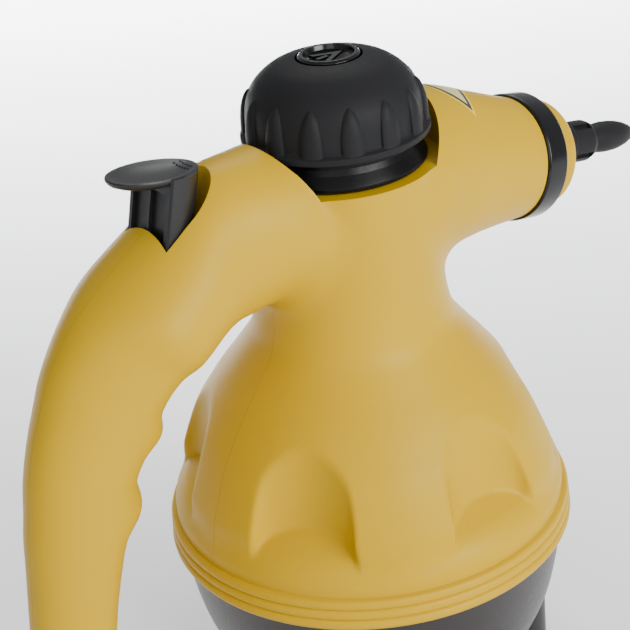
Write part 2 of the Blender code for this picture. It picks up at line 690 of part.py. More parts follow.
def build_housing():
    """Build the shell whole, then part it at the seam."""
    hollow = place("hollow", pear_hollow("hollow"))
    boolean(hollow, arch_mesh("arch_hollow", WALL), "UNION")
    # What stays solid inside the hollow: pocket wall, button sleeve, bosses and shelf
    pocket_wall = rod("pocket_wall", POCKET_RADIUS + WALL, POCKET_Z - WALL, POCKET_Z + OVERRUN,
                      segments=POCKET_SEGMENTS)
    boolean(hollow, pocket_wall)
    sleeve_grow = BUTTON_SHAFT_CLEARANCE + BUTTON_SLEEVE_WALL
    boolean(hollow, button_prism("sleeve", sleeve_grow, -BUTTON_SLEEVE_DEPTH, OVERRUN))
    shelf = box("shelf", (BUTTON_LENGTH / 2 - SHELF_HALF_LENGTH, -OVERRUN, -SHELF_DEPTH - SHELF_THICKNESS),
                (BUTTON_LENGTH / 2 + SHELF_HALF_LENGTH, OVERRUN, -SHELF_DEPTH), button_frame)
    boolean(hollow, shelf)
    for point in screw_places().values():
        boolean(hollow, rod("boss", HOUSING_BOSS_RADIUS, -OVERRUN, OVERRUN, across(point)))
    for low, high in clamp_ribs():
        rib = place("rib", box("rib", (-2 * HANDLE_REACH, -OVERRUN, low), (-HANDLE_REACH / 2, OVERRUN, high)))
        boolean(rib, rod("rib_hole", RIB_HOLE_RADIUS, low - GAP, high + GAP, at_handle_end(), SMALL_SEGMENTS))
        boolean(hollow, evaluated(rib))
    for angle in post_angles():
        spin = turned_about(angle)
        at_post = spin @ Matrix.Translation((POST_CIRCLE, 0, 0))
        boss_top = FLANGE_Z - GAP
        boolean(hollow, rod("base_boss", BOSS_RADIUS, POST_TOP_Z + GAP, boss_top, at_post))
        web = box("web", (POST_CIRCLE, -WALL / 2, RIM_Z + BASE_TOP_OVERLAP + WALL),
                  (RIM_RADIUS - RIM_BEAD_DEPTH, WALL / 2, boss_top - WALL), spin)
        boolean(hollow, web)
        hold_z = FLANGE_Z + 2 * FLANGE_THICKNESS + GASKET_THICKNESS + 3 * GAP
        hold = box("hold_down", (FLANGE_RADIUS - WALL, -WALL, hold_z),
                   (RIM_RADIUS, WALL, hold_z + WALL), spin)
        boolean(hollow, hold)
    for where in dent_places():
        boolean(hollow, dent_mesh("dent_inside", WALL, where))

    shell = place("shell", pear_mesh("shell"))
    boolean(shell, arch_mesh("arch", 0), "UNION")
    pocket = rod("pocket", POCKET_RADIUS, POCKET_Z, POCKET_Z + 2 * OVERRUN, segments=POCKET_SEGMENTS)
    boolean(shell, pocket)
    for where in dent_places():
        boolean(shell, dent_mesh("dent", 0, where))
    cavity = place("cavity", cleaned(evaluated(hollow)))
    boolean(shell, cavity.data)
    slot_depth = BUTTON_SLEEVE_DEPTH + OVERRUN / 2
    boolean(shell, button_prism("slot", BUTTON_SHAFT_CLEARANCE, -slot_depth, OVERRUN))
    boolean(shell, rod("filler_hole", FILLER_HOLE_RADIUS, POCKET_Z - OVERRUN / 2, POCKET_Z + OVERRUN,
                       segments=TURNED_SEGMENTS))
    boolean(shell, rod("cord_hole", GLAND_RADIUS + GAP, HANDLE_END_Z - OVERRUN, HANDLE_END_Z + OVERRUN / 2,
                       at_handle_end(), 2 * SMALL_SEGMENTS))
    for angle in post_angles():
        at_post = turned_about(angle) @ Matrix.Translation((POST_CIRCLE, 0, 0))
        boolean(shell, rod("boss_hole", BASE_SCREW_RADIUS + SCREW_CLEARANCE, POST_TOP_Z - OVERRUN,
                           POST_TOP_Z + BASE_SCREW_REACH + GAP, at_post))
    for point in screw_places().values():
        boolean(shell, stepped_hole("screw_hole", HOUSING_SCREW_RADIUS + SCREW_CLEARANCE,
                                    HOUSING_SCREW_HEAD_RADIUS + SCREW_CLEARANCE,
                                    (-HOUSING_SCREW_HALF_LENGTH - GAP, HOUSING_SCREW_HALF_LENGTH, OVERRUN),
                                    across(point)))
    whole = cleaned(evaluated(shell))
    far = 4 * HANDLE_REACH
    for name, side in (("housing_left", 1), ("housing_right", -1)):
        half = place(name, whole.copy(), "yellow_plastic")
        away = sorted((side * SEAM_GAP / 2, -side * far))
        boolean(half, box("other_side", (-far, away[0], -far), (far, away[1], far)))


def build_base():
    """Black cup with a resting pad, four feet and posts for the long screws."""
    outline = [(r * RIM_RADIUS, h * RIM_Z) for h, r in BASE_OUTLINE_SHARES]
    top = RIM_Z + BASE_TOP_OVERLAP
    # The lip fits inside the flats of the housing's faceted rim
    lip_radius = (RIM_RADIUS - RIM_BEAD_DEPTH - WALL) * math.cos(math.pi / INSIDE_SEGMENTS)
    floor_z = PAD_HEIGHT + BASE_FLOOR
    profile = [(0, 0), (PAD_RADIUS, 0), (PAD_RADIUS, PAD_HEIGHT), (outline[0][0], PAD_HEIGHT)]
    profile += outline[1:] + [(lip_radius, RIM_Z), (lip_radius, top), (0, top)]
    inside = [(0, floor_z), (outline[0][0] - BASE_WALL, floor_z)]
    inside += [(r - BASE_WALL, h) for r, h in outline if h > floor_z + BASE_FLOOR]
    inside += [(lip_radius - BASE_WALL, RIM_Z), (lip_radius - BASE_WALL, top + OVERRUN), (0, top + OVERRUN)]
    hollow = place("cup_hollow", turned("cup_hollow", inside, segments=INSIDE_SEGMENTS,
                                         phase=math.pi / INSIDE_SEGMENTS))
    for angle in post_angles():
        at_post = turned_about(angle) @ Matrix.Translation((POST_CIRCLE, 0, 0))
        boolean(hollow, rod("post", POST_RADIUS, -OVERRUN, POST_TOP_Z, at_post))
    cup = place("base_cup", turned("base_cup", profile, segments=BULB_SEGMENTS,
                                   phase=math.pi / BULB_SEGMENTS), "base_plastic")
    boolean(cup, evaluated(hollow))
    for angle in post_angles():
        at_post = turned_about(angle) @ Matrix.Translation((POST_CIRCLE, 0, 0))
        boolean(cup, stepped_hole("post_hole", BASE_SCREW_RADIUS + SCREW_CLEARANCE,
                                  BASE_SCREW_HEAD_RADIUS + COUNTERBORE_CLEARANCE,
                                  (POST_TOP_Z + OVERRUN, POST_LEDGE_Z, -OVERRUN), at_post))
    recess_top = PAD_HEIGHT + FOOT_RECESS
    for k in range(FOOT_COUNT):
        at_foot = turned_about(k * 2 * math.pi / FOOT_COUNT) @ Matrix.Translation((FOOT_CIRCLE, 0, 0))
        boolean(cup, rod("foot_recess", FOOT_RADIUS + GAP, 0, recess_top, at_foot,
                         segments=2 * SMALL_SEGMENTS))
        place("foot_%d" % (k + 1), rod("foot", FOOT_RADIUS, 0, recess_top - GAP, at_foot), "rubber")
    head_low = POST_LEDGE_Z - GAP - SCREW_HEAD_HEIGHT
    for k, angle in enumerate(post_angles()):
        at_post = turned_about(angle) @ Matrix.Translation((POST_CIRCLE, 0, 0))
        place("base_screw_%d" % (k + 1), screw_mesh(
            "base_screw", BASE_SCREW_RADIUS, BASE_SCREW_HEAD_RADIUS, head_low,
            POST_TOP_Z + BASE_SCREW_REACH, at_post), "steel")


def screw_mesh(name, radius, head_radius, head_low, tip, where):
    """Pan-head screw pointing up from its head, with a hexagonal drive recess."""
    direction = 1 if tip > head_low else -1
    shoulder = head_low + direction * SCREW_HEAD_HEIGHT
    recess = head_low + direction * SCREW_HEAD_HEIGHT / 2
    outline = [(0, recess), (head_radius / 2, recess), (head_radius / 2, head_low),
               (head_radius * 0.8, head_low), (head_radius, head_low + direction * SCREW_HEAD_HEIGHT / 3),
               (head_radius, shoulder), (radius, shoulder), (radius, tip - direction * radius), (0, tip)]
    return turned(name, outline, where, SMALL_SEGMENTS)


def build_housing_screws():
    """Screws that hold the two halves together, driven from the left."""
    for name, point in screw_places().items():
        head = HOUSING_SCREW_HALF_LENGTH + GAP + SCREW_HEAD_HEIGHT
        place("housing_screw_" + name, screw_mesh(
            "housing_screw", HOUSING_SCREW_RADIUS, HOUSING_SCREW_HEAD_RADIUS, head,
            -HOUSING_SCREW_HALF_LENGTH, across(point)), "steel")


def build_boiler():
    """Two aluminium halves clamped on a gasket, with the filler neck screwed in."""
    top = FLANGE_Z + FLANGE_THICKNESS
    inner = BOILER_RADIUS - BOILER_WALL
    lower = [(0, BOILER_BOTTOM_Z), (0.72 * BOILER_RADIUS, BOILER_BOTTOM_Z),
             (0.93 * BOILER_RADIUS, BOILER_BOTTOM_Z + BOILER_RADIUS / 5),
             (BOILER_RADIUS, BOILER_BOTTOM_Z + BOILER_RADIUS / 2), (BOILER_RADIUS, FLANGE_Z),
             (FLANGE_RADIUS, FLANGE_Z), (FLANGE_RADIUS, top), (inner, top),
             (inner, BOILER_BOTTOM_Z + BOILER_RADIUS / 2),
             (0.93 * inner, BOILER_BOTTOM_Z + BOILER_WALL + inner / 5),
             (0.70 * inner, BOILER_BOTTOM_Z + BOILER_WALL), (0, BOILER_BOTTOM_Z + BOILER_WALL)]
    pot = place("boiler_lower", turned("boiler_lower", lower), "aluminium")
    seat = top + GAP
    gasket_inner = inner + GAP
    place("boiler_gasket", turned("boiler_gasket", [
        (gasket_inner, seat), (gasket_inner + GASKET_WIDTH, seat),
        (gasket_inner + GASKET_WIDTH, seat + GASKET_THICKNESS), (gasket_inner, seat + GASKET_THICKNESS)]),
        "silicone")
    low = seat + GASKET_THICKNESS + GAP
    high = low + FLANGE_THICKNESS
    outside = [(r * BOILER_RADIUS, high + h * DOME_HEIGHT) for h, r in DOME_SHARES]
    inside = [(r * inner, low + h * (DOME_HEIGHT - BOILER_WALL / 2)) for h, r in DOME_SHARES]
    boss_top = high + DOME_HEIGHT
    hole = FILLER_STUB_RADIUS + GAP
    dome = [(FLANGE_RADIUS, low), (FLANGE_RADIUS, high)] + outside
    dome += [(DOME_NECK_RADIUS, boss_top - 2 * BOILER_WALL), (DOME_NECK_RADIUS, boss_top), (hole, boss_top)]
    dome += [(hole, boss_top - 3 * BOILER_WALL)] + inside[::-1]
    lid = place("boiler_upper", turned("boiler_upper", dome, phase=math.pi / TURNED_SEGMENTS), "aluminium")
    # The valve stands on a boss of the lid and draws steam through it
    at_valve = Matrix.Translation((VALVE_X, 0, 0))
    boolean(lid, rod("valve_boss", VALVE_FOOT_RADIUS, boss_top - 4 * BOILER_WALL, VALVE_FOOT_Z, at_valve,
                     segments=2 * SMALL_SEGMENTS), "UNION")
    boolean(lid, rod("valve_port", PLUNGER_RADIUS, boss_top - OVERRUN, VALVE_FOOT_Z + OVERRUN, at_valve))
    circle = (FLANGE_RADIUS + BOILER_RADIUS) / 2 + GAP
    for k in range(BOILER_SCREW_COUNT):
        where = turned_about(k * 2 * math.pi / BOILER_SCREW_COUNT) @ Matrix.Translation((circle, 0, 0))
        hole_mesh = rod("flange_hole", BOILER_SCREW_RADIUS + SCREW_CLEARANCE, FLANGE_Z - OVERRUN / 8,
                        high + OVERRUN / 8, where)
        boolean(pot, hole_mesh)
        boolean(lid, hole_mesh)
        place("boiler_screw_%d" % (k + 1), screw_mesh(
            "boiler_screw", BOILER_SCREW_RADIUS, BOILER_SCREW_HEAD_RADIUS,
            high + GAP + SCREW_HEAD_HEIGHT, FLANGE_Z - FLANGE_THICKNESS / 2, where), "steel")
    nut_low = boss_top + GAP
    nut_top = nut_low + FILLER_NUT_HEIGHT
    bore = FILLER_STUB_RADIUS - FILLER_LIP
    thread_low = FILLER_TOP_Z - SEAL_THICKNESS - PLUG_SHANK_DEPTH - FILLER_LIP
    stub_low = boss_top - 2 * BOILER_WALL
    place("filler_neck", turned("filler_neck", [
        (bore, stub_low), (FILLER_STUB_RADIUS, stub_low), (FILLER_STUB_RADIUS, nut_low),
        (FILLER_NUT_RADIUS, nut_low), (FILLER_NUT_RADIUS, nut_top), (FILLER_RADIUS, nut_top),
        (FILLER_RADIUS, FILLER_TOP_Z), (FILLER_BORE_RADIUS, FILLER_TOP_Z),
        (FILLER_BORE_RADIUS, thread_low), (bore, thread_low - FILLER_LIP)]), "brass")


def build_heater():
    """Heating element, thermostat, fuse, terminal block and the lead that feeds them."""
    z = BOILER_BOTTOM_Z - GAP - HEATER_TUBE_RADIUS
    start = math.pi + (2 * math.pi - HEATER_ARC) / 2
    steps = 20
    ring = [Vector((HEATER_RADIUS * math.cos(start + HEATER_ARC * k / steps),
                    HEATER_RADIUS * math.sin(start + HEATER_ARC * k / steps), z))
            for k in range(steps + 1)]
    down = Vector((0, 0, -HEATER_LEG))
    points = [ring[0] + down] + ring + [ring[-1] + down]
    place("heating_element", tube_along("heating_element", points, HEATER_TUBE_RADIUS, 8), "steel")
    top = BOILER_BOTTOM_Z - GAP
    place("thermostat", turned("thermostat", [
        (0, top - THERMOSTAT_HEIGHT), (0.6 * THERMOSTAT_RADIUS, top - THERMOSTAT_HEIGHT),
        (0.6 * THERMOSTAT_RADIUS, top - THERMOSTAT_HEIGHT / 2),
        (THERMOSTAT_RADIUS, top - THERMOSTAT_HEIGHT / 2), (THERMOSTAT_RADIUS, top), (0, top)],
        segments=2 * SMALL_SEGMENTS), "steel")
    fuse_at = (Matrix.Translation((-FUSE_LENGTH / 2, FUSE_Y, BOILER_BOTTOM_Z - GAP - FUSE_RADIUS))
               @ Matrix.Rotation(math.pi / 2, 4, "Y"))
    place("thermal_fuse", turned("thermal_fuse", [
        (0, 0), (FUSE_RADIUS / 2, 0), (FUSE_RADIUS, FUSE_RADIUS), (FUSE_RADIUS, FUSE_LENGTH - FUSE_RADIUS),
        (FUSE_RADIUS / 2, FUSE_LENGTH), (0, FUSE_LENGTH)], fuse_at), "cream_plastic")
    floor_z = PAD_HEIGHT + BASE_FLOOR + GAP
    length, width, height = BLOCK_SIZE
    place("terminal_block", box("terminal_block", (BLOCK_X - length / 2, -width / 2, floor_z),
                                (BLOCK_X + length / 2, width / 2, floor_z + height)), "cream_plastic")


def build_valve():
    """Steam valve on the boiler: body, seal, plunger, spring and the pipe to the nozzle."""
    at_valve = Matrix.Translation((VALVE_X, 0, 0))
    low = VALVE_FOOT_Z + GAP
    body = turned("valve_body", [
        (PLUNGER_BORE_RADIUS, low), (VALVE_RADIUS, low), (VALVE_RADIUS, VALVE_TOP_Z),
        (PLUNGER_BORE_RADIUS, VALVE_TOP_Z)], at_valve, 2 * SMALL_SEGMENTS)
    place("valve_body", body, "brass")
    seal_low = VALVE_TOP_Z + GAP
    seal_top = seal_low + VALVE_SEAL_HEIGHT
    place("valve_seal", turned("valve_seal", [
        (PLUNGER_BORE_RADIUS, seal_low), (VALVE_RADIUS - GAP, seal_low), (VALVE_RADIUS - GAP, seal_top),
        (PLUNGER_BORE_RADIUS, seal_top)], at_valve, 2 * SMALL_SEGMENTS), "silicone")
    collar_low = PLUNGER_TOP_Z - PLUNGER_COLLAR_HEIGHT
    slide = joint_empty("valve_axis", (VALVE_X, 0, PLUNGER_TOP_Z))
    place("valve_plunger", turned("valve_plunger", [
        (0, PLUNGER_BOTTOM_Z), (PLUNGER_RADIUS / 2, PLUNGER_BOTTOM_Z),
        (PLUNGER_RADIUS, PLUNGER_BOTTOM_Z + PLUNGER_RADIUS), (PLUNGER_RADIUS, collar_low),
        (PLUNGER_COLLAR_RADIUS, collar_low), (PLUNGER_COLLAR_RADIUS, PLUNGER_TOP_Z), (0, PLUNGER_TOP_Z)],
        at_valve, SMALL_SEGMENTS), "brass", slide)
    place("valve_spring", spring("valve_spring", VALVE_SPRING_RADIUS, VALVE_SPRING_WIRE,
                                 VALVE_SPRING_TURNS, seal_top + GAP, collar_low - GAP, at_valve), "steel")
    ring = PIPE_RING_RADIUS
    inner_end = nozzle_frame @ Vector((0, 0, -SOCKET_STUB_LENGTH - GAP))
    before = nozzle_frame @ Vector((0, 0, -SOCKET_STUB_LENGTH - 8 * PIPE_RADIUS))
    route = [Vector((VALVE_X, VALVE_RADIUS + 2 * GAP, PIPE_Z)),
             Vector((VALVE_X, VALVE_RADIUS + 2 * PIPE_RADIUS, PIPE_Z))]
    for turn in (2.2, 1.75, 1.3, 0.85):
        rise = (2.2 - turn) * ring / 4
        route.append(Vector((ring * math.cos(turn), ring * math.sin(turn), PIPE_Z + PIPE_RADIUS + rise)))
    middle = (route[-1] + before) / 2
    route += [Vector((middle.x, route[-1].y / 3, middle.z + PIPE_RADIUS)), before, inner_end]
    smooth = curve_through([tuple(p) for p in route], 3)
    place("steam_pipe", tube_along("steam_pipe", smooth, PIPE_RADIUS, 8), "brass")


def build_button():
    """Thumb button: dished top, D-shaped shaft and the arm that presses the valve."""
    slide = joint_empty("button_axis", (BUTTON_X, 0, BUTTON_Z), button_up)
    button = place("trigger_button", button_prism("trigger_button", 0, -BUTTON_SHAFT_DEPTH, BUTTON_HEAD_LAP),
                   "black_matte_plastic", slide)
    # The dish stands out behind the shaft and is tilted back a little from square
    dish_frame = (button_frame @ Matrix.Translation((0, 0, DISH_RISE))
                  @ Matrix.Rotation(-DISH_TILT, 4, "Y"))
    rows = [[(size * DISH_HALF_LENGTH * math.cos(a), size * DISH_HALF_WIDTH * math.sin(a),
              -depth * DISH_THICKNESS)
             for a in (2 * math.pi * (k + 0.5) / DISH_SEGMENTS for k in range(DISH_SEGMENTS))]
            for depth, size in DISH_SHARES]
    boolean(button, lofted("dish", rows, dish_frame), "UNION")
    ball = (DISH_HALF_WIDTH ** 2 / DISH_HOLLOW_DEPTH) / 2
    hollow = dish_frame @ Matrix.Translation((-DISH_THICKNESS / 2, 0, ball - DISH_HOLLOW_DEPTH))
    ratio = DISH_HALF_LENGTH / DISH_HALF_WIDTH * 0.9
    bm = bmesh.new()
    bmesh.ops.create_uvsphere(bm, u_segments=2 * SMALL_SEGMENTS, v_segments=3 * SMALL_SEGMENTS,
                              radius=0.94 * ball, matrix=hollow @ Matrix.Diagonal((ratio, 1, 1, 1)))
    boolean(button, mesh_from(bm, "dish_hollow"))
    panel = box("panel", (-PANEL_DEPTH, -PANEL_HALF_WIDTH, -PANEL_HEIGHT),
                (PANEL_DEPTH, PANEL_HALF_WIDTH, PANEL_TOP), button_frame)
    boolean(button, panel)
    arm_low = PLUNGER_TOP_Z + GAP
    shaft_x = BUTTON_X - BUTTON_SHAFT_DEPTH * math.sin(BUTTON_LEAN) + BUTTON_LENGTH / 2
    arm = box("arm", (shaft_x, -ARM_HALF_WIDTH, arm_low), (VALVE_X, ARM_HALF_WIDTH, arm_low + ARM_THICKNESS))
    boolean(button, arm, "UNION")
    boolean(button, rod("arm_tip", ARM_TIP_RADIUS, arm_low, arm_low + ARM_THICKNESS - GAP,
                        Matrix.Translation((VALVE_X, 0, 0))), "UNION")
    seat = button_frame @ Matrix.Translation((BUTTON_LENGTH / 2, 0, 0))
    place("trigger_spring", spring("trigger_spring", BUTTON_SPRING_RADIUS, BUTTON_SPRING_WIRE,
                                   BUTTON_SPRING_TURNS, -SHELF_DEPTH + GAP, -BUTTON_SHAFT_DEPTH - GAP, seat),
          "steel")


def cap_outline():
    """Outside of the knob from its flange to the opening in its crown."""
    return [(r * CAP_RADIUS, FLANGE_BOTTOM_Z + h * CAP_HEIGHT) for h, r in CAP_OUTLINE_SHARES]


def build_cap():
    """Safety cap: knob, insert, threaded plug, seal, springs and relief valve."""
    lift = joint_empty("cap_axis", (0, 0, FILLER_TOP_Z))
    seal_low = FILLER_TOP_Z + GAP
    seal_top = seal_low + SEAL_THICKNESS
    place("cap_seal", turned("cap_seal", [
        (FILLER_BORE_RADIUS + THREAD_CLEARANCE, seal_low), (FILLER_RADIUS, seal_low),
        (FILLER_RADIUS, seal_top), (FILLER_BORE_RADIUS + THREAD_CLEARANCE, seal_top)]), "silicone", lift)

    flange_low = seal_top + GAP
    flange_top = flange_low + PLUG_FLANGE_THICKNESS
    crown = FLANGE_BOTTOM_Z + CAP_HEIGHT
    insert_low = crown + INSERT_PROUD - INSERT_HEIGHT
    hub_top = insert_low - GAP
    shank_low = flange_low - PLUG_SHANK_DEPTH
    shank = FILLER_BORE_RADIUS - THREAD_CLEARANCE
    seat_top = shank_low + PLUG_SEAT_THICKNESS
    roof = hub_top - PLUG_SEAT_THICKNESS
    plug = turned("cap_plug", [
        (POPPET_RADIUS / 2, shank_low), (shank, shank_low), (shank, flange_low),
        (PLUG_FLANGE_RADIUS, flange_low), (PLUG_FLANGE_RADIUS, flange_top), (PLUG_HUB_RADIUS, flange_top),
        (PLUG_HUB_RADIUS, hub_top), (PLUG_VENT_RADIUS, hub_top), (PLUG_VENT_RADIUS, roof),
        (PLUG_BORE_RADIUS, roof), (PLUG_BORE_RADIUS, seat_top), (POPPET_RADIUS / 2, seat_top)])
    place("cap_plug", plug, "brass", lift)

    poppet_low = seat_top + GAP
    poppet_top = poppet_low + POPPET_THICKNESS
    place("relief_poppet", turned("relief_poppet", [
        (0, poppet_low), (POPPET_RADIUS, poppet_low), (POPPET_RADIUS, poppet_top),
        (POPPET_STEM_RADIUS, poppet_top), (POPPET_STEM_RADIUS, poppet_top + POPPET_STEM_LENGTH),
        (0, poppet_top + POPPET_STEM_LENGTH)], segments=SMALL_SEGMENTS), "brass", lift)
    place("relief_spring", spring("relief_spring", RELIEF_SPRING_RADIUS, RELIEF_SPRING_WIRE,
                                  RELIEF_SPRING_TURNS, poppet_top + GAP, roof - GAP), "steel", lift)

    outside = cap_outline()
    opening = outside[-1][0]
    inside = [(max(r - CAP_WALL, KNOB_SLEEVE_RADIUS), z - CAP_WALL / 2) for r, z in outside[:-2]]
    ceiling = inside[-1][1] - CAP_WALL / 2
    sleeve_bore = PLUG_HUB_RADIUS + GAP
    sleeve_low = crown - KNOB_SLEEVE_DEPTH
    profile = [(CAP_RADIUS - CAP_EDGE, FLANGE_BOTTOM_Z), (CAP_RADIUS, FLANGE_BOTTOM_Z)]
    profile += [(CAP_RADIUS, FLANGE_BOTTOM_Z + CAP_EDGE * 0.75)] + outside
    profile += [(opening, hub_top + GAP + INSERT_HEIGHT / 4),
                (sleeve_bore, hub_top + GAP + INSERT_HEIGHT / 4)]
    profile += [(sleeve_bore, sleeve_low), (KNOB_SLEEVE_RADIUS, sleeve_low), (KNOB_SLEEVE_RADIUS, ceiling)]
    profile += [p for p in inside[::-1] if p[0] > KNOB_SLEEVE_RADIUS + GAP]
    profile += [(CAP_RADIUS - CAP_EDGE, FLANGE_BOTTOM_Z + CAP_EDGE)]
    knob = place("cap_knob", turned("cap_knob", profile, segments=2 * CAP_RIBS),
                 "black_matte_plastic", lift)
    for k in range(CAP_RIBS):
        spin = turned_about(CAP_RIB_PHASE + k * 2 * math.pi / CAP_RIBS)
        low = FLANGE_BOTTOM_Z + CAP_EDGE * 0.9
        sections = []
        for level, radius, width in CAP_RIB_SHARES:
            face = radius * CAP_RADIUS
            half = width * CAP_RIB_HALF_WIDTH
            sections.append([(x, y * half, low + level * CAP_RIB_HEIGHT) for x, y in (
                (face, -0.45), (face, 0.45), (face - CAP_WALL / 2, 1.0), (face - CAP_WALL * 1.2, 1.0),
                (face - CAP_WALL * 1.2, -1.0), (face - CAP_WALL / 2, -1.0))])
        boolean(knob, lofted("rib", sections, spin), "UNION")
    place("knob_spring", spring("knob_spring", KNOB_SPRING_RADIUS, KNOB_SPRING_WIRE, KNOB_SPRING_TURNS,
                                flange_top + GAP, ceiling - GAP), "steel", lift)

    top = crown + INSERT_PROUD
    radius = min(INSERT_RADIUS, opening - GAP)
    place("cap_insert", turned("cap_insert", [
        (0, insert_low), (radius * 0.7, insert_low), (radius * 0.7, insert_low + INSERT_HEIGHT / 3),
        (radius, insert_low + INSERT_HEIGHT / 2), (radius, top - INSERT_RING / 3),
        (radius - INSERT_RING / 3, top),
        (radius - INSERT_RING, top), (radius - INSERT_RING, top - INSERT_RING), (0, top - INSERT_RING)]),
        "black_gloss_plastic", lift)


def build_collar():
    """Black funnel ring between the housing and the cap."""
    low = POCKET_Z + GAP
    top = FLANGE_BOTTOM_Z - GAP
    throat = FILLER_RADIUS + GAP
    place("neck_collar", turned("neck_collar", [
        (throat, low), (COLLAR_RADIUS - COLLAR_EDGE / 2, low), (COLLAR_RADIUS, low + COLLAR_EDGE / 2),
        (COLLAR_RADIUS, low + COLLAR_EDGE), (COLLAR_TOP_RADIUS, low + 3.5 * COLLAR_EDGE),
        (COLLAR_TOP_RADIUS, top),
        (COLLAR_TOP_RADIUS - COLLAR_WALL, top), (COLLAR_TOP_RADIUS - COLLAR_WALL, low + 3.5 * COLLAR_EDGE),
        (throat + COLLAR_WALL, low + COLLAR_EDGE), (throat, low + COLLAR_EDGE)],
        segments=TURNED_SEGMENTS + SMALL_SEGMENTS), "black_gloss_plastic")


def build_nozzle():
    """Barrel ring, end cap, socket, seal and the spout that twists off."""
    # The spigot fits inside the flats of the barrel's faceted hollow
    inner = (BARREL_RADIUS - WALL) * math.cos(math.pi / HOLLOW_SEGMENTS) - GAP
    ring_end = GAP + RING_LENGTH
    place("barrel_ring", turned("barrel_ring", [
        (inner + GAP, GAP), (RING_RADIUS - GAP, GAP), (RING_RADIUS, 3 * GAP),
        (RING_RADIUS, ring_end - 3 * GAP),
        (RING_RADIUS - GAP, ring_end), (inner + GAP, ring_end)], barrel_frame), "black_gloss_plastic")
    cap_low = ring_end + GAP
    cap_top = cap_low + END_CAP_LENGTH
    face = cap_top - END_CAP_WALL
    front = place("barrel_end_cap", turned("barrel_end_cap", [
        (inner - WALL, -SPIGOT_DEPTH), (inner, -SPIGOT_DEPTH), (inner, cap_low), (END_CAP_RADIUS, cap_low),
        (END_CAP_RADIUS, cap_low + END_CAP_LENGTH / 2), (END_CAP_RADIUS - GAP, cap_top - END_CAP_ROUND),
        (END_CAP_RADIUS - END_CAP_ROUND / 3, cap_top - END_CAP_ROUND / 3),
        (END_CAP_RADIUS - END_CAP_ROUND, cap_top), (0, cap_top), (0, face), (inner - WALL, face)],
        barrel_frame), "yellow_plastic")
    boolean(front, rod("nozzle_hole", SOCKET_RADIUS + GAP, -OVERRUN, OVERRUN, nozzle_frame,
                       2 * SMALL_SEGMENTS))
    flange_top = face - GAP
    flange_low = flange_top - SOCKET_FLANGE_THICKNESS
    socket_top = cap_top + SOCKET_LENGTH
    bore_low = socket_top - SOCKET_BORE_DEPTH
    place("nozzle_socket", turned("nozzle_socket", [
        (PIPE_RADIUS, -SOCKET_STUB_LENGTH), (SOCKET_STUB_RADIUS, -SOCKET_STUB_LENGTH),
        (SOCKET_STUB_RADIUS, flange_low), (SOCKET_FLANGE_RADIUS, flange_low),
        (SOCKET_FLANGE_RADIUS, flange_top), (SOCKET_RADIUS, flange_top), (SOCKET_RADIUS, socket_top),
        (SOCKET_BORE_RADIUS, socket_top), (SOCKET_BORE_RADIUS, bore_low), (PIPE_RADIUS, bore_low)],
        nozzle_frame), "black_matte_plastic")
    seal_low = bore_low + GAP
    seal_top = seal_low + NOZZLE_SEAL_THICKNESS
    place("nozzle_seal", turned("nozzle_seal", [
        (PIPE_RADIUS, seal_low), (SHANK_RADIUS, seal_low), (SHANK_RADIUS, seal_top), (PIPE_RADIUS, seal_top)],
        nozzle_frame, 2 * SMALL_SEGMENTS), "silicone")
    twist = joint_empty("nozzle_axis", nozzle_frame @ Vector((0, 0, socket_top)), barrel_direction)
    shank_low = seal_top + GAP
    base_low = socket_top + GAP
    base_top = base_low + SPOUT_BASE_LENGTH
    profile = [(SPOUT_BORE_RADIUS, shank_low), (SHANK_RADIUS, shank_low), (SHANK_RADIUS, base_low),
               (SPOUT_BASE_RADIUS, base_low), (SPOUT_BASE_RADIUS, base_top - END_CAP_ROUND),
               (SPOUT_BASE_RADIUS - END_CAP_ROUND / 2, base_top)]
    profile += [(r * SPOUT_RADIUS, base_top + h * SPOUT_LENGTH) for h, r in SPOUT_SHARES]
    profile += [(SPOUT_BORE_RADIUS, base_top + SPOUT_LENGTH)]
    place("nozzle_spout", turned("nozzle_spout", profile, nozzle_frame, 2 * SMALL_SEGMENTS),
          "black_matte_plastic", twist)


def build_cord_entry():
    """Gland in the handle's end and the clamp bar above it."""
    at_end = Matrix.Translation((-HANDLE_REACH, 0, HANDLE_END_Z))
    flange_top = -GAP
    place("cord_gland", turned("cord_gland", [
        (CORD_HOLE_RADIUS, flange_top - GLAND_FLANGE_THICKNESS),
        (GLAND_FLANGE_RADIUS, flange_top - GLAND_FLANGE_THICKNESS),
        (GLAND_FLANGE_RADIUS, flange_top), (GLAND_RADIUS, flange_top), (GLAND_RADIUS, GLAND_LENGTH),
        (CORD_HOLE_RADIUS, GLAND_LENGTH)], at_end, 2 * SMALL_SEGMENTS), "rubber")
    length, width, height = CLAMP_SIZE
    low = HANDLE_END_Z + GLAND_LENGTH + CLAMP_LIFT
    clamp = place("cord_clamp", box("cord_clamp", (-HANDLE_REACH - length / 2, -width / 2, low),
                                    (-HANDLE_REACH + length / 2, width / 2, low + height)), "cream_plastic")
    boolean(clamp, rod("clamp_hole", LEAD_RADIUS + 2 * GAP, low - GAP, low + height + GAP, at_handle_end()))
    route = [(x * HANDLE_REACH, y * BARREL_RADIUS, z * ARCH_Z) for x, y, z in LEAD_SHARES]
    place("inner_lead", tube_along("inner_lead", curve_through(route, 2), LEAD_RADIUS), "lead_sheath")


build_housing()
build_base()
build_housing_screws()
build_boiler()
build_heater()
build_valve()
build_button()
build_cap()
build_collar()
build_nozzle()
build_cord_entry()
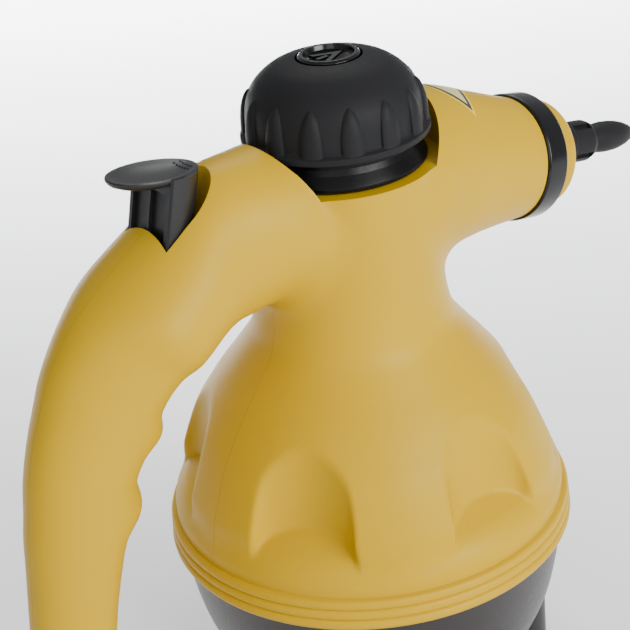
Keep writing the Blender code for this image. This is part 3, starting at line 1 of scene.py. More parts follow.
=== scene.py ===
# %% [markdown]
# # A handheld steam cleaner
# The part is a yellow pear of moulded plastic with a pistol handle and a barrel, a black base,
# a ribbed safety cap and a thumb button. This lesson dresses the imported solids: it builds the
# pieces that show in fine meshes, gives every piece a material, and lights it like a studio shot.
# All shapes are worked out in millimetres and turned into metres as the last step.

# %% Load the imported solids
import json
import math

import bmesh
import bpy
import numpy as np
from mathutils import Matrix, Vector

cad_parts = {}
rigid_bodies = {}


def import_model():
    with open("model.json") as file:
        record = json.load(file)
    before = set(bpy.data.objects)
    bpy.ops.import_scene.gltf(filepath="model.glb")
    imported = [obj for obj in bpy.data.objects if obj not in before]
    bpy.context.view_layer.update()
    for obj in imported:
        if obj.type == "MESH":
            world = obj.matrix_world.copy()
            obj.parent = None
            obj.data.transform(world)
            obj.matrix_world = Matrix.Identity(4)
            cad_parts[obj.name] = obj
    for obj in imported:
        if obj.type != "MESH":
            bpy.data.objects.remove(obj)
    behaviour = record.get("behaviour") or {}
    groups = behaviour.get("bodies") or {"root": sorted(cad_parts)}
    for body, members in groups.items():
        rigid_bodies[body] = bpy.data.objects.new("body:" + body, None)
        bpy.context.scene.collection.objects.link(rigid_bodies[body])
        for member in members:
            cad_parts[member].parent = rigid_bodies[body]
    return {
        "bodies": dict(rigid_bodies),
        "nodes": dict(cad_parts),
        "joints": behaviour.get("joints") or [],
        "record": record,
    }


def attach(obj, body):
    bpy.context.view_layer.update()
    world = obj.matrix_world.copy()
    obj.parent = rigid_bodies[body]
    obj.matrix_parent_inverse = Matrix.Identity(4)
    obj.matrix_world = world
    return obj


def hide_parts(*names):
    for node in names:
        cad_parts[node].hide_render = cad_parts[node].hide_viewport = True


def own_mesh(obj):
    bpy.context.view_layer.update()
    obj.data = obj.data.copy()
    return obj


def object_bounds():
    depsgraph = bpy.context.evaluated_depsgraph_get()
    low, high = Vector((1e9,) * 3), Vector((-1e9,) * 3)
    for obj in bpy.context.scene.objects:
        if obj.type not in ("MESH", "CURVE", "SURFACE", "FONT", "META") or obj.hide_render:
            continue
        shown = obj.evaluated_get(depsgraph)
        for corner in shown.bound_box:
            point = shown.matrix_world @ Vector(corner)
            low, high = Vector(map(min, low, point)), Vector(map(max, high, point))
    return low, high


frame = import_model()
nodes = frame["nodes"]
cad_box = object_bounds()
MM = 0.001
print("solids loaded:", len(nodes))

# %% [markdown]
# ## Camera
# The photograph was taken from behind the handle's right side, a little above the cap. Its place
# and focal length were solved from outlines of known shape, such as the circles of rim and cap.

# %% Camera
IMAGE_PIXELS = 630
FOCAL_PIXELS = 1688.5
SENSOR_WIDTH = 36.0
CAMERA_PLACE = Vector((-284.4, -365.0, 363.5)) * MM
AZIMUTH, ELEVATION, ROLL = (math.radians(v) for v in (-36.5, 26.94, -5.93))

back = Vector((math.sin(AZIMUTH) * math.cos(ELEVATION), -math.cos(AZIMUTH) * math.cos(ELEVATION),
               math.sin(ELEVATION)))
level = (-back).cross(Vector((0, 0, 1))).normalized()
above = level.cross(-back)
right = math.cos(ROLL) * level + math.sin(ROLL) * above
up = math.cos(ROLL) * above - math.sin(ROLL) * level
camera_data = bpy.data.cameras.new("camera")
camera_data.sensor_width = SENSOR_WIDTH
camera_data.lens = FOCAL_PIXELS / IMAGE_PIXELS * SENSOR_WIDTH
camera_data.clip_start = 0.01
camera_data.clip_end = 20
camera = bpy.data.objects.new("camera", camera_data)
bpy.context.scene.collection.objects.link(camera)
facing = Matrix((right, up, back)).transposed().to_4x4()
camera.matrix_world = Matrix.Translation(CAMERA_PLACE) @ facing
bpy.context.scene.camera = camera
print("camera with a lens of", round(camera_data.lens, 1), "mm")

# %% [markdown]
# ## Studio
# A flat sheet of pale paper, one large soft light on the camera's right, a weaker one on its left
# and a pale world. The top of the barrel is darker than its side in the photograph, so little
# light comes from straight above.

# %% Studio


def linear(hex_colour):
    """sRGB hex to the linear values that a shader takes."""
    values = [int(hex_colour[i:i + 2], 16) / 255 for i in (0, 2, 4)]
    return [v / 12.92 if v <= 0.04045 else ((v + 0.055) / 1.055) ** 2.4 for v in values]


def area_light(name, place, target, size, power):
    """A rectangular soft light that faces its target."""
    data = bpy.data.lights.new(name, "AREA")
    data.shape = "RECTANGLE"
    data.size, data.size_y = size
    data.energy = power
    light = bpy.data.objects.new(name, data)
    bpy.context.scene.collection.objects.link(light)
    light.location = place
    light.rotation_euler = (Vector(target) - Vector(place)).to_track_quat("-Z", "Y").to_euler()
    return light


middle = Vector((0, 0, 0.11))
area_light("key_light", (0.12, -1.25, 0.6), middle, (0.9, 0.7), 26)
area_light("fill_light", (-1.0, -0.9, 0.75), middle, (0.8, 0.8), 4)
# This one stands over the paper behind the machine, and its narrow beam misses the machine
overhead = area_light("backdrop_light", (0.95, 1.35, 1.3), (0.75, 1.1, 0.0), (1.6, 1.2), 90)
overhead.data.spread = math.radians(70)

world = bpy.data.worlds.new("studio")
bpy.context.scene.world = world
world.use_nodes = True
sky = world.node_tree.nodes["Background"]
sky.inputs["Color"].default_value = (*linear("EEF0F3"), 1)
sky.inputs["Strength"].default_value = 0.56
print("lights:", len(bpy.data.lights))

# %% [markdown]
# ## Materials
# Each material is named for the real one. A moulded plastic is one colour through and through, so
# what tells it from paint is its surface: a fine texture from the mould that spreads highlights,
# and on large faces a slight waviness where the wall shrank. Both come from noise in the bump.

# %% A helper that adds a node


def add_node(tree, kind, values=(), links=(), **settings):
    """Add a node, set its sockets and properties, and link (output, input) pairs to it."""
    made = tree.nodes.new(kind)
    for name, value in settings.items():
        setattr(made, name, value)
    for socket, value in dict(values).items():
        made.inputs[socket].default_value = value
    for source, socket in links:
        tree.links.new(source, made.inputs[socket])
    return made


# %% Moulded plastics


def plastic(name, colour, shade, roughness, grain_mm, grain_depth, spread=0.05, specular=0.5,
            wave_depth=0.0, metallic=0.0):
    """A moulded surface: a slow drift between two colours, and a fine grain in the bump."""
    made = bpy.data.materials.new(name)
    made.use_nodes = True
    tree = made.node_tree
    shader = tree.nodes["Principled BSDF"]
    shader.inputs["IOR"].default_value = 1.5
    shader.inputs["Metallic"].default_value = metallic
    shader.inputs["Specular IOR Level"].default_value = specular
    place = add_node(tree, "ShaderNodeTexCoord").outputs["Object"]
    drift = add_node(tree, "ShaderNodeTexNoise", {"Scale": 22.0, "Detail": 2.0},
                     [(place, "Vector")])
    mixed = add_node(tree, "ShaderNodeMix", {6: (*linear(colour), 1), 7: (*linear(shade), 1)},
                     [(drift.outputs["Fac"], 0)], data_type="RGBA")
    tree.links.new(mixed.outputs[2], shader.inputs["Base Color"])
    grain = add_node(tree, "ShaderNodeTexNoise", {"Scale": 1000 / grain_mm, "Detail": 3.0},
                     [(place, "Vector")])
    rough = add_node(tree, "ShaderNodeMapRange",
                     {"From Min": 0.3, "From Max": 0.7, "To Min": roughness - spread,
                      "To Max": roughness + spread}, [(grain.outputs["Fac"], "Value")])
    tree.links.new(rough.outputs["Result"], shader.inputs["Roughness"])
    bump = add_node(tree, "ShaderNodeBump", {"Strength": 1.0, "Distance": grain_depth * MM},
                    [(grain.outputs["Fac"], "Height")])
    if wave_depth:
        wave = add_node(tree, "ShaderNodeTexNoise", {"Scale": 60.0, "Detail": 1.0},
                        [(place, "Vector")])
        bump = add_node(tree, "ShaderNodeBump", {"Strength": 1.0, "Distance": wave_depth * MM},
                        [(wave.outputs["Fac"], "Height"), (bump.outputs["Normal"], "Normal")])
    tree.links.new(bump.outputs["Normal"], shader.inputs["Normal"])
    return made


# Glossy ABS, moulded in a polished tool: a wide soft highlight and a trace of waviness
yellow_abs = plastic("moulded_yellow_abs", "C49D02", "BF9701", 0.42, 0.9, 0.004, specular=0.15,
                     wave_depth=0.05)
# Glass-filled nylon of the cap and nozzle: a spark-eroded tool leaves a fine even grain
grained_nylon = plastic("grained_black_nylon", "242425", "1F1F20", 0.52, 0.55, 0.02, 0.06,
                        specular=0.08)
# The button is the same nylon in a smoother tool
button_nylon = plastic("satin_black_nylon", "1B1B1C", "161617", 0.40, 0.5, 0.008, 0.05,
                       specular=0.4)
# Polished black ABS of the barrel's ring and the cap's insert
gloss_abs = plastic("polished_black_abs", "0C0C0D", "09090A", 0.20, 1.2, 0.002, 0.04,
                    specular=0.4)
# The collar is the same ABS, made darker and duller: painted shade where it sits under the cap
shaded_collar_abs = plastic("black_abs_painted_shade", "09090A", "070708", 0.34, 1.2, 0.002, 0.05,
                      specular=0.15)
# The base is polypropylene, a warm grey-black with a soft sheen
base_polypropylene = plastic("satin_grey_polypropylene", "2A2625", "231F1E", 0.36, 0.8, 0.006)
foot_rubber = plastic("moulded_black_rubber", "1B1B1B", "161616", 0.75, 0.6, 0.03)
seal_silicone = plastic("red_silicone", "9C3422", "8F2E1E", 0.5, 0.8, 0.01)
white_nylon = plastic("cream_nylon", "DAD4C2", "D2CBB7", 0.45, 0.7, 0.01)
lead_pvc = plastic("grey_pvc_sheath", "8A8D90", "808387", 0.55, 0.7, 0.01)
cast_aluminium = plastic("cast_aluminium", "B9BCBF", "A9ACB0", 0.42, 0.5, 0.03, 0.1, metallic=1.0)
turned_brass = plastic("turned_brass", "C9A04E", "BD9344", 0.3, 0.3, 0.006, 0.08, metallic=1.0)
zinc_steel = plastic("zinc_plated_steel", "A8A9AA", "9C9DA0", 0.3, 0.4, 0.006, 0.08, metallic=1.0)

# %% Every carried-over solid gets its material
FINISH_OF_NODE = {
    "housing_left": yellow_abs, "housing_right": yellow_abs, "barrel_end_cap": yellow_abs,
    "base_cup": base_polypropylene, "cap_knob": grained_nylon, "cap_insert": gloss_abs,
    "neck_collar": shaded_collar_abs, "barrel_ring": gloss_abs, "trigger_button": button_nylon,
    "nozzle_socket": grained_nylon, "nozzle_spout": grained_nylon, "cord_gland": foot_rubber,
    "cord_clamp": white_nylon, "terminal_block": white_nylon, "thermal_fuse": white_nylon,
    "inner_lead": lead_pvc, "boiler_lower": cast_aluminium, "boiler_upper": cast_aluminium,
    "filler_neck": turned_brass, "cap_plug": turned_brass, "valve_body": turned_brass,
    "valve_plunger": turned_brass, "relief_poppet": turned_brass, "steam_pipe": turned_brass,
}
for name, solid in nodes.items():
    finish = FINISH_OF_NODE.get(name)
    if finish is None and name.startswith("foot_"):
        finish = foot_rubber
    if finish is None and (name.endswith("_seal") or name.endswith("_gasket")):
        finish = seal_silicone
    if finish is None:
        finish = zinc_steel
    solid.data.materials.clear()
    solid.data.materials.append(finish)
print("materials:", len(bpy.data.materials))

# %% Floor
paper = plastic("matt_white_paper", "F0F1F3", "EEEFF1", 0.9, 2.0, 0.0, specular=0.2)
FLOOR_LEFT, FLOOR_RIGHT, FLOOR_NEAR, FLOOR_DEPTH, FLOOR_GAP = -2.6, 1.2, -2.0, 5.0, 0.0002
sheet = bmesh.new()
edge = sheet.edges.new([sheet.verts.new((x, FLOOR_NEAR, 0)) for x in (FLOOR_LEFT, FLOOR_RIGHT)])
run = bmesh.ops.extrude_edge_only(sheet, edges=[edge])
far_side = [v for v in run["geom"] if isinstance(v, bmesh.types.BMVert)]
bmesh.ops.translate(sheet, vec=(0, FLOOR_DEPTH, 0), verts=far_side)
floor_mesh = bpy.data.meshes.new("floor")
sheet.to_mesh(floor_mesh)
sheet.free()
floor = bpy.data.objects.new("floor", floor_mesh)
floor.data.materials.append(paper)
floor.location.z = cad_box[0][2] - FLOOR_GAP
bpy.context.scene.collection.objects.link(floor)
print("floor", FLOOR_RIGHT - FLOOR_LEFT, "by", FLOOR_DEPTH, "m")

# %% [markdown]
# ## The housing as a field
# The housing is one soft form: a pear that flows into a barrel, a hump and a handle, with a round
# pocket, a slot and six dents cut in. Such a form is easiest to state as a field, a number that is
# zero on the surface and negative inside. Two forms are joined by a smooth minimum of their
# fields, and a cut is a smooth maximum with the cutter's field reversed.

# %% Outlines of the pear and of the tube, in millimetres
PEAR = [(52.0, 62.2), (66.0, 62.2), (71.2, 61.9), (80.8, 59.7), (96.0, 53.8), (104.0, 48.9),
        (111.2, 43.7), (118.4, 37.9), (126.0, 32.3), (132.0, 30.2), (140.8, 29.2), (160.0, 29.2),
        (178.0, 29.2), (190.0, 29.2)]
# Along the tube from beyond the barrel's mouth: place (x, z), half sizes up, down and across
TUBE = [(72.5, 156.3, 19.7, 19.7, 19.7), (66.6, 157.4, 19.7, 19.7, 19.7),
        (48.3, 160.8, 23.9, 21.5, 22.0), (29.9, 164.3, 27.4, 24.8, 25.2),
        (10.3, 167.9, 26.8, 26.8, 27.6), (-14.0, 167.7, 25.0, 23.3, 22.1),
        (-30.3, 168.0, 24.3, 21.6, 21.2), (-46.6, 166.3, 25.0, 21.6, 19.5),
        (-60.0, 161.6, 20.4, 18.0, 22.0), (-73.0, 153.3, 20.2, 16.5, 23.6),
        (-80.5, 146.8, 21.0, 15.0, 19.8), (-87.5, 138.3, 21.0, 15.3, 17.0),
        (-92.0, 131.0, 20.1, 19.0, 15.7), (-96.0, 123.5, 19.3, 15.5, 14.8),
        (-99.3, 115.5, 18.5, 14.4, 14.2), (-101.6, 106.0, 18.0, 17.1, 13.8),
        (-103.6, 98.4, 17.5, 12.9, 13.5), (-105.5, 90.0, 16.6, 11.3, 13.0),
        (-108.8, 74.9, 15.2, 10.2, 12.4), (-112.0, 55.9, 14.1, 10.0, 11.7),
        (-115.0, 36.0, 13.2, 9.6, 11.2), (-116.5, 20.0, 12.8, 9.6, 11.0)]
MOUTH, MOUTH_AHEAD = np.array([66.6, 0.0, 157.4]), np.array([0.983, 0.0, -0.184])
HANDLE_END, HANDLE_ROUND = 26.0, 8.0
HANDLE_FOOT = Matrix.Translation((-116.5, 0, 0))
# The field goes on past the two flat cuts, and a plane trims each of them later
BELOW, ABOVE, BEYOND, RIM_TOP = 60.0, 186.0, 3.0, 65.4
# The mouth's plane counts above BARREL_LOW, and the rim's plane within RIM_REACH of the axis
BARREL_LOW, RIM_REACH, FAR = 125.0, 75.0, 1000.0
# Fillets between pear and tube, which widen fore and aft below the hump, and at the dents' edges
FILLET, FILLET_WIDE, FADE_TOP, FADE_RUN = 1.5, 9, 176, 12
DENT_EDGE, SHELF_EDGE, SHELF_RUN = 1.3, 3, 6
POCKET_FLOOR, POCKET_RADIUS = 178.0, 30.0
BUTTON = np.array([-65.3, 0.0, 190.1])
BUTTON_FORWARD, BUTTON_UP = np.array([0.969, 0.0, -0.247]), np.array([0.247, 0.0, 0.969])
SLOT_REAR, SLOT_HALF, SLOT_CENTRE, SLOT_DEPTH = -0.6, 10.5, 7.0, 13.5
DENT_ANGLES = [math.radians(180 + side * turn) for side in (1, -1) for turn in (31.0, 91.8, 151)]
# A dent's back wall: its top, how far it stands from the axis there, and how far it leans out
DENT_TOP, DENT_WALL, DENT_LEAN = 106.5, 47.1, 0.10
# It curves forward to both sides, gently at first and then into a side wall
DENT_BOW, DENT_SIDE, DENT_HALF, DENT_STEEP, DENT_LIMIT = 0.018, 2.5, 15.7, 12, 17.5
# The shelf at its foot: height against the wall, fall outward and fall to the sides
SHELF_TOP, SHELF_FALL, SHELF_ARCH = 82.0, 0.65, 0.006
SHELF_WALL = DENT_WALL + DENT_LEAN * (DENT_TOP - SHELF_TOP)


def dent_wall(across, height):
    """How far from the axis a dent's back wall stands, and how steeply it turns forward."""
    across = np.clip(np.abs(across), 0, DENT_LIMIT)
    side = (across / DENT_HALF) ** DENT_STEEP
    wall = DENT_WALL + DENT_LEAN * (DENT_TOP - height) + DENT_BOW * across ** 2 + DENT_SIDE * side
    return wall, 2 * DENT_BOW * across + DENT_STEEP * DENT_SIDE * side / np.maximum(across, 1)


def dent_shelf(across, out):
    """Height of the shelf at a dent's foot."""
    return SHELF_TOP - SHELF_FALL * (out - SHELF_WALL) - SHELF_ARCH * across ** 2


def through(rows, per_span):
    """Smooth curve through table rows: a Catmull-Rom spline with per_span steps to a row."""
    rows = np.array(rows, float)
    ends = np.vstack([2 * rows[0] - rows[1], rows, 2 * rows[-1] - rows[-2]])
    steps = np.linspace(0, 1, per_span, endpoint=False)[:, None]
    spans = []
    for a, b, c, d in zip(ends, ends[1:], ends[2:], ends[3:]):
        spans.append(0.5 * (2 * b + (c - a) * steps + (2 * a - 5 * b + 4 * c - d) * steps ** 2
                            + (3 * b - a - 3 * c + d) * steps ** 3))
    return np.vstack(spans + [rows[-1:]])


pear_curve = through(PEAR, 24)
pear_slope = np.gradient(pear_curve[:, 1], pear_curve[:, 0])
tube_curve = through(TUBE, 24)
tube_place = tube_curve[:, :2]
ahead = np.gradient(tube_place, axis=0)
tube_step = np.linalg.norm(ahead, axis=1)
tube_ahead = ahead / tube_step[:, None]
print("tube of", len(tube_curve), "stations, about", round(float(tube_step.mean()), 2), "mm apart")

# %% The field
# Half the step that measures the field's slope, in millimetres, and points handled at a time
PROBE, BATCH = 0.03, 16384


def smooth_min(a, b, k):
    """Minimum of two fields with a fillet about k wide where they meet."""
    h = np.clip(0.5 + 0.5 * (b - a) / k, 0, 1)
    return b + (a - b) * h - k * h * (1 - h)


def smooth_max(a, b, k):
    """Maximum of two fields, with the edge where they meet rounded in the same way."""
    return -smooth_min(-a, -b, k)


def nearest_station(points):
    """Index of the tube station nearest to each point."""
    found = np.empty(len(points), int)
    flat = points[:, [0, 2]]
    sizes = (tube_place ** 2).sum(1)
    for low in range(0, len(points), BATCH):
        part = flat[low:low + BATCH]
        found[low:low + BATCH] = (sizes - 2 * part @ tube_place.T).argmin(1)
    return found


def tube_field(points, near):
    """Distance from the tube, whose sections are two half ellipses set back to back."""
    flat = points[:, [0, 2]]
    along = ((flat - tube_place[near]) * tube_ahead[near]).sum(1) / tube_step[near]
    at = np.clip(near + np.clip(along, -1, 1), 0, len(tube_curve) - 1.001)
    low = at.astype(int)
    part = (at - low)[:, None]
    row = tube_curve[low] * (1 - part) + tube_curve[low + 1] * part
    way = tube_ahead[low] * (1 - part) + tube_ahead[low + 1] * part
    rise = (points[:, 2] - row[:, 1]) * -way[:, 0] + (points[:, 0] - row[:, 0]) * way[:, 1]
    tall = np.where(rise > 0, row[:, 2], row[:, 3])
    wide = row[:, 4]
    size = np.sqrt((rise / tall) ** 2 + (points[:, 1] / wide) ** 2 + 1e-6)
    steep = np.sqrt((rise / tall ** 2) ** 2 + (points[:, 1] / wide ** 2) ** 2 + 1e-9) / size
    return (size - 1) / steep


def dent_field(points, radius):
    """Distance from the nearest dent's cutter: a hollowed back wall over a sloping shelf."""
    angle = np.arctan2(points[:, 1], points[:, 0])
    turn = np.full(len(points), 9.0)
    for dent in DENT_ANGLES:
        apart = (angle - dent + math.pi) % (2 * math.pi) - math.pi
        turn = np.where(np.abs(apart) < np.abs(turn), apart, turn)
    across, out = radius * np.sin(turn), radius * np.cos(turn)
    wall, slope = dent_wall(across, points[:, 2])
    back = (wall - out) / np.sqrt(1 + slope ** 2 + DENT_LEAN ** 2)
    shelf = (dent_shelf(across, out) - points[:, 2]) / math.sqrt(1 + SHELF_FALL ** 2)
    return smooth_max(back, shelf, 1.0)


def field(points, near):
    """The housing: negative inside, zero on its surface, in millimetres."""
    x, y, z = points.T
    radius = np.sqrt(x * x + y * y + 1e-9)
    slope = np.interp(z, pear_curve[:, 0], pear_slope)
    pear = (radius - np.interp(z, pear_curve[:, 0], pear_curve[:, 1])) / np.sqrt(1 + slope ** 2)
    edge = DENT_EDGE + SHELF_EDGE * np.clip((SHELF_TOP - z) / SHELF_RUN, 0, 1)
    pear = smooth_max(pear, -dent_field(points, radius), edge)
    pear = np.maximum(pear, np.maximum(BELOW - z, z - ABOVE))
    tube = smooth_max(tube_field(points, near), HANDLE_END - z, HANDLE_ROUND)
    fade = np.clip((FADE_TOP - z) / FADE_RUN, 0, 1)
    body = smooth_min(pear, tube, FILLET + FILLET_WIDE * fade * (x / radius) ** 2)
    # The mouth's plane leans, so low down it would slice the pear: it counts for the barrel alone
    mouth = np.where(z > BARREL_LOW, (points - MOUTH) @ MOUTH_AHEAD - BEYOND, -FAR)
    return np.maximum(body, mouth)


def drawn_to_surface(points, rounds):
    """Newton steps down the field's slope until every point lies on the surface."""
    points = points.copy()
    for _ in range(rounds):
        near = nearest_station(points)
        value = field(points, near)
        slope = np.empty_like(points)
        for axis in range(3):
            step = np.zeros(3)
            step[axis] = PROBE
            ahead, behind = field(points + step, near), field(points - step, near)
            slope[:, axis] = (ahead - behind) / (2 * PROBE)
        step = (value / np.maximum((slope ** 2).sum(1), 0.3))[:, None] * slope
        points -= np.clip(step, -1.0, 1.0)
    return points, value


def relaxed(points, edges, amount):
    """Each point drawn part of the way to the mean of its neighbours."""
    count = np.bincount(edges.ravel(), minlength=len(points))
    mean = np.empty_like(points)
    for axis in range(3):
        mean[:, axis] = (np.bincount(edges[:, 0], points[edges[:, 1], axis], len(points))
                         + np.bincount(edges[:, 1], points[edges[:, 0], axis], len(points)))
    mean /= np.maximum(count, 1)[:, None]
    return points + amount * (mean - points)


# %% Small helpers for meshes in millimetres


def smoothed(mesh, degrees):
    """Smooth shading, with edges steeper than the given angle kept sharp."""
    mesh.shade_smooth()
    mesh.set_sharp_from_angle(angle=math.radians(degrees))


def new_object(name, bm, finish=None, smooth=None):
    """Turn a bmesh in millimetres into an object in metres, at the origin and unrotated."""
    bmesh.ops.scale(bm, vec=(MM, MM, MM), verts=bm.verts)
    mesh = bpy.data.meshes.new(name)
    bm.to_mesh(mesh)
    bm.free()
    if smooth is not None:
        smoothed(mesh, smooth)
    made = bpy.data.objects.new(name, mesh)
    if finish:
        mesh.materials.append(finish)
    bpy.context.scene.collection.objects.link(made)
    return made


def spun(profile, steps, frame=None, angle=2 * math.pi, start=0.0):
    """Spin a profile of (radius, height) points about Z: a closed ring or a closed solid."""
    bm = bmesh.new()
    closed = min(r for r, _ in profile) > 0
    row = [bm.verts.new((r * math.cos(start), r * math.sin(start), z)) for r, z in profile]
    whole = angle > 2 * math.pi - 0.001
    edges = [bm.edges.new(pair) for pair in zip(row, row[1:] + row[:1] if closed else row[1:])]
    geometry = row + edges
    if not whole:
        geometry = geometry + [bm.faces.new(row)]
    bmesh.ops.spin(bm, geom=geometry, cent=(0, 0, 0), axis=(0, 0, 1), angle=angle, steps=steps,
                   use_merge=whole)
    bmesh.ops.remove_doubles(bm, verts=bm.verts, dist=1e-4)
    bmesh.ops.recalc_face_normals(bm, faces=bm.faces)
    if frame is not None:
        bmesh.ops.transform(bm, matrix=frame, verts=bm.verts)
    return bm


def hull(points, frame=None):
    """The closed convex shape round a handful of points."""
    bm = bmesh.new()
    for point in points:
        bm.verts.new(point)
    bmesh.ops.convex_hull(bm, input=bm.verts)
    bmesh.ops.recalc_face_normals(bm, faces=bm.faces)
    if frame is not None:
        bmesh.ops.transform(bm, matrix=frame, verts=bm.verts)
    return bm


def cut(target, bm, operation="DIFFERENCE"):
    """Apply a Boolean with a cutter in millimetres, then remove the cutter."""
    cutter = new_object("cutter", bm)
    change = target.modifiers.new("cut", "BOOLEAN")
    change.solver = "EXACT"
    change.operation = operation
    change.object = cutter
    applied(target)
    bpy.data.objects.remove(cutter, do_unlink=True)


def applied(target):
    """Replace an object's mesh by the result of its modifiers."""
    graph = bpy.context.evaluated_depsgraph_get()
    mesh = bpy.data.meshes.new_from_object(target.evaluated_get(graph))
    target.modifiers.clear()
    old = target.data
    target.data = mesh
    bpy.data.meshes.remove(old)


def in_millimetres(mesh):
    """A copy of a mesh as a bmesh, scaled from metres to millimetres."""
    bm = bmesh.new()
    bm.from_mesh(mesh)
    bmesh.ops.scale(bm, vec=(1 / MM,) * 3, verts=bm.verts)
    return bm


def bevelled(target, width, degrees):
    """Round every edge that is sharper than the given angle."""
    edge = target.modifiers.new("edge", "BEVEL")
    edge.width = width * MM
    edge.segments = 2
    edge.limit_method = "ANGLE"
    edge.angle_limit = math.radians(degrees)
    applied(target)


def around(radius, turn):
    """A move outward from the body's axis by radius, in the direction of turn."""
    return Matrix.Translation((radius * math.cos(turn), radius * math.sin(turn), 0))


def joined(*pieces):
    """Several bmeshes as one."""
    whole = bmesh.new()
    for bm in pieces:
        part = bpy.data.meshes.new("part")
        bm.to_mesh(part)
        bm.free()
        whole.from_mesh(part)
        bpy.data.meshes.remove(part)
    return whole


# %% [markdown]
# ## A mesh for the field
# A rough closed mesh of the same form is built with spins, rings and cuts. The remesh modifier
# turns it into small even squares, and every corner is then drawn onto the field's surface. A
# little relaxing between the steps spreads the squares evenly over the steep places.

# %% Rough form


def tube_mesh(inset, stations):
    """Rings of the tube's section, extruded from one to the next."""
    bm = bmesh.new()
    ring = bmesh.ops.create_circle(bm, segments=36, radius=1, cap_ends=True)["verts"]
    at_rest = [v.co.copy() for v in ring]
    last = None
    for k in stations:
        x, z, tall, deep, wide = tube_curve[k]
        way = tube_ahead[k]
        if last is not None:
            run = bmesh.ops.extrude_edge_only(bm, edges=last)
            ring = [e for e in run["geom"] if isinstance(e, bmesh.types.BMVert)]
            last = [e for e in run["geom"] if isinstance(e, bmesh.types.BMEdge)]
        else:
            last = [e for e in bm.edges if e.is_wire or len(e.link_faces) == 1]
        for vert, unit in zip(ring, at_rest):
            rise = unit.y * ((tall if unit.y > 0 else deep) - inset)
            vert.co = (x + rise * way[1], unit.x * (wide - inset), z - rise * way[0])
    bmesh.ops.holes_fill(bm, edges=last, sides=0)
    bmesh.ops.recalc_face_normals(bm, faces=bm.faces)
    return bm


def slot_mesh(grow, low, high):
    """The slot's D-shaped prism between two depths along the button's axis."""
    half = SLOT_HALF + grow
    outline = [(SLOT_REAR - grow, half), (SLOT_REAR - grow, -half)]
    outline += [(SLOT_CENTRE + half * math.cos(a), half * math.sin(a))
                for a in np.linspace(-math.pi / 2, math.pi / 2, 40)]
    return hull([tuple(BUTTON + u * BUTTON_FORWARD + w * BUTTON_UP + np.array([0, y, 0]))
                 for u, y in outline for w in (low, high)])


# A dent's rough cutter: half its width, how far out it goes and how far above the dent's top
CUTTER_HALF, CUTTER_OUT, CUTTER_ABOVE = 15.2, 75.0, 8


def dent_mesh(grow, turn):
    """Rough cutter of one dent; grown, it keeps the inside clear of the dent."""
    points = []
    top = DENT_TOP + CUTTER_ABOVE
    for across in np.linspace(-CUTTER_HALF, CUTTER_HALF, 9):
        side = across * (1 + grow / CUTTER_HALF)
        for out in (float(dent_wall(across, SHELF_TOP)[0]) - grow, CUTTER_OUT):
            lean = DENT_LEAN * (top - SHELF_TOP) * (out < CUTTER_OUT)
            points += [(out, side, float(dent_shelf(across, out)) - 1.3 * grow),
                       (out - lean, side, top)]
    return hull(points, Matrix.Rotation(turn, 4, "Z"))


def cylinder(radius, low, high, frame=None, segments=64):
    """A cylinder about Z between two heights, moved by frame."""
    bm = bmesh.new()
    bmesh.ops.create_cone(bm, cap_ends=True, segments=segments, radius1=radius, radius2=radius,
                          depth=high - low)
    bmesh.ops.translate(bm, vec=(0, 0, (high + low) / 2), verts=bm.verts)
    if frame is not None:
        bmesh.ops.transform(bm, matrix=frame, verts=bm.verts)
    return bm


VOXEL = 0.85
ROUGH = [(0, 54), *[(r, z) for z, r in PEAR if 54 < z < 190], (29.2, ABOVE), (0, ABOVE)]
rough = new_object("rough", spun(ROUGH, 96))
cut(rough, tube_mesh(0, range(0, len(tube_curve), 3)), "UNION")
cut(rough, joined(cylinder(30, 0, HANDLE_END, HANDLE_FOOT),
                  *[dent_mesh(0, turn) for turn in DENT_ANGLES]))
print("rough form with", len(rough.data.vertices), "corners")

# %% Even squares, drawn onto the surface
change = rough.modifiers.new("squares", "REMESH")
change.mode = "VOXEL"
change.voxel_size = VOXEL * MM
applied(rough)
mesh = rough.data
print("even squares with", len(mesh.vertices), "corners")
points = np.empty(len(mesh.vertices) * 3)
mesh.vertices.foreach_get("co", points)
points = points.reshape(-1, 3) / MM
edges = np.empty(len(mesh.edges) * 2, int)
mesh.edges.foreach_get("vertices", edges)
edges = edges.reshape(-1, 2)
for amount in (0.5, 0.4, 0.3):
    points, value = drawn_to_surface(points, 2)
    points = relaxed(points, edges, amount)
points, value = drawn_to_surface(points, 3)
print("largest distance left", round(float(np.abs(value).max()), 3), "mm")
mesh.vertices.foreach_set("co", (points * MM).ravel())
mesh.update()

# %% Hollow inside, holes, and the cut into two halves
# The wall's thickness, and how far the hollow stays clear of the slot and the dents
WALL, POCKET_WALL, CLEARANCE, PAST_TOP = 2.6, 2.5, 2.0, 230
NECK_BORE, GLAND_BORE, SCREW_BORE = 15.6, 5.1, 3.1
HOLLOW_FORM = [(0, 62), (58, 62), *[(r - WALL, z) for z, r in PEAR if 64 < z < 150],
               (26.6, 174.5), (0, 174.5)]
inside = new_object("inside", spun(HOLLOW_FORM, 48))
cut(inside, tube_mesh(WALL, range(16, len(tube_curve) - 8, 6)), "UNION")
cut(inside, joined(cylinder(POCKET_RADIUS + POCKET_WALL, POCKET_FLOOR - POCKET_WALL, PAST_TOP,
                            segments=48),
                   cylinder(30, 0, HANDLE_END + 3, HANDLE_FOOT),
                   slot_mesh(CLEARANCE, -SLOT_DEPTH, 30),
                   *[dent_mesh(CLEARANCE, turn) for turn in DENT_ANGLES]))
whole = bmesh.new()
whole.from_mesh(inside.data)
bmesh.ops.reverse_faces(whole, faces=whole.faces)
whole.from_mesh(rough.data)
whole.to_mesh(rough.data)
whole.free()
bpy.data.objects.remove(inside, do_unlink=True)
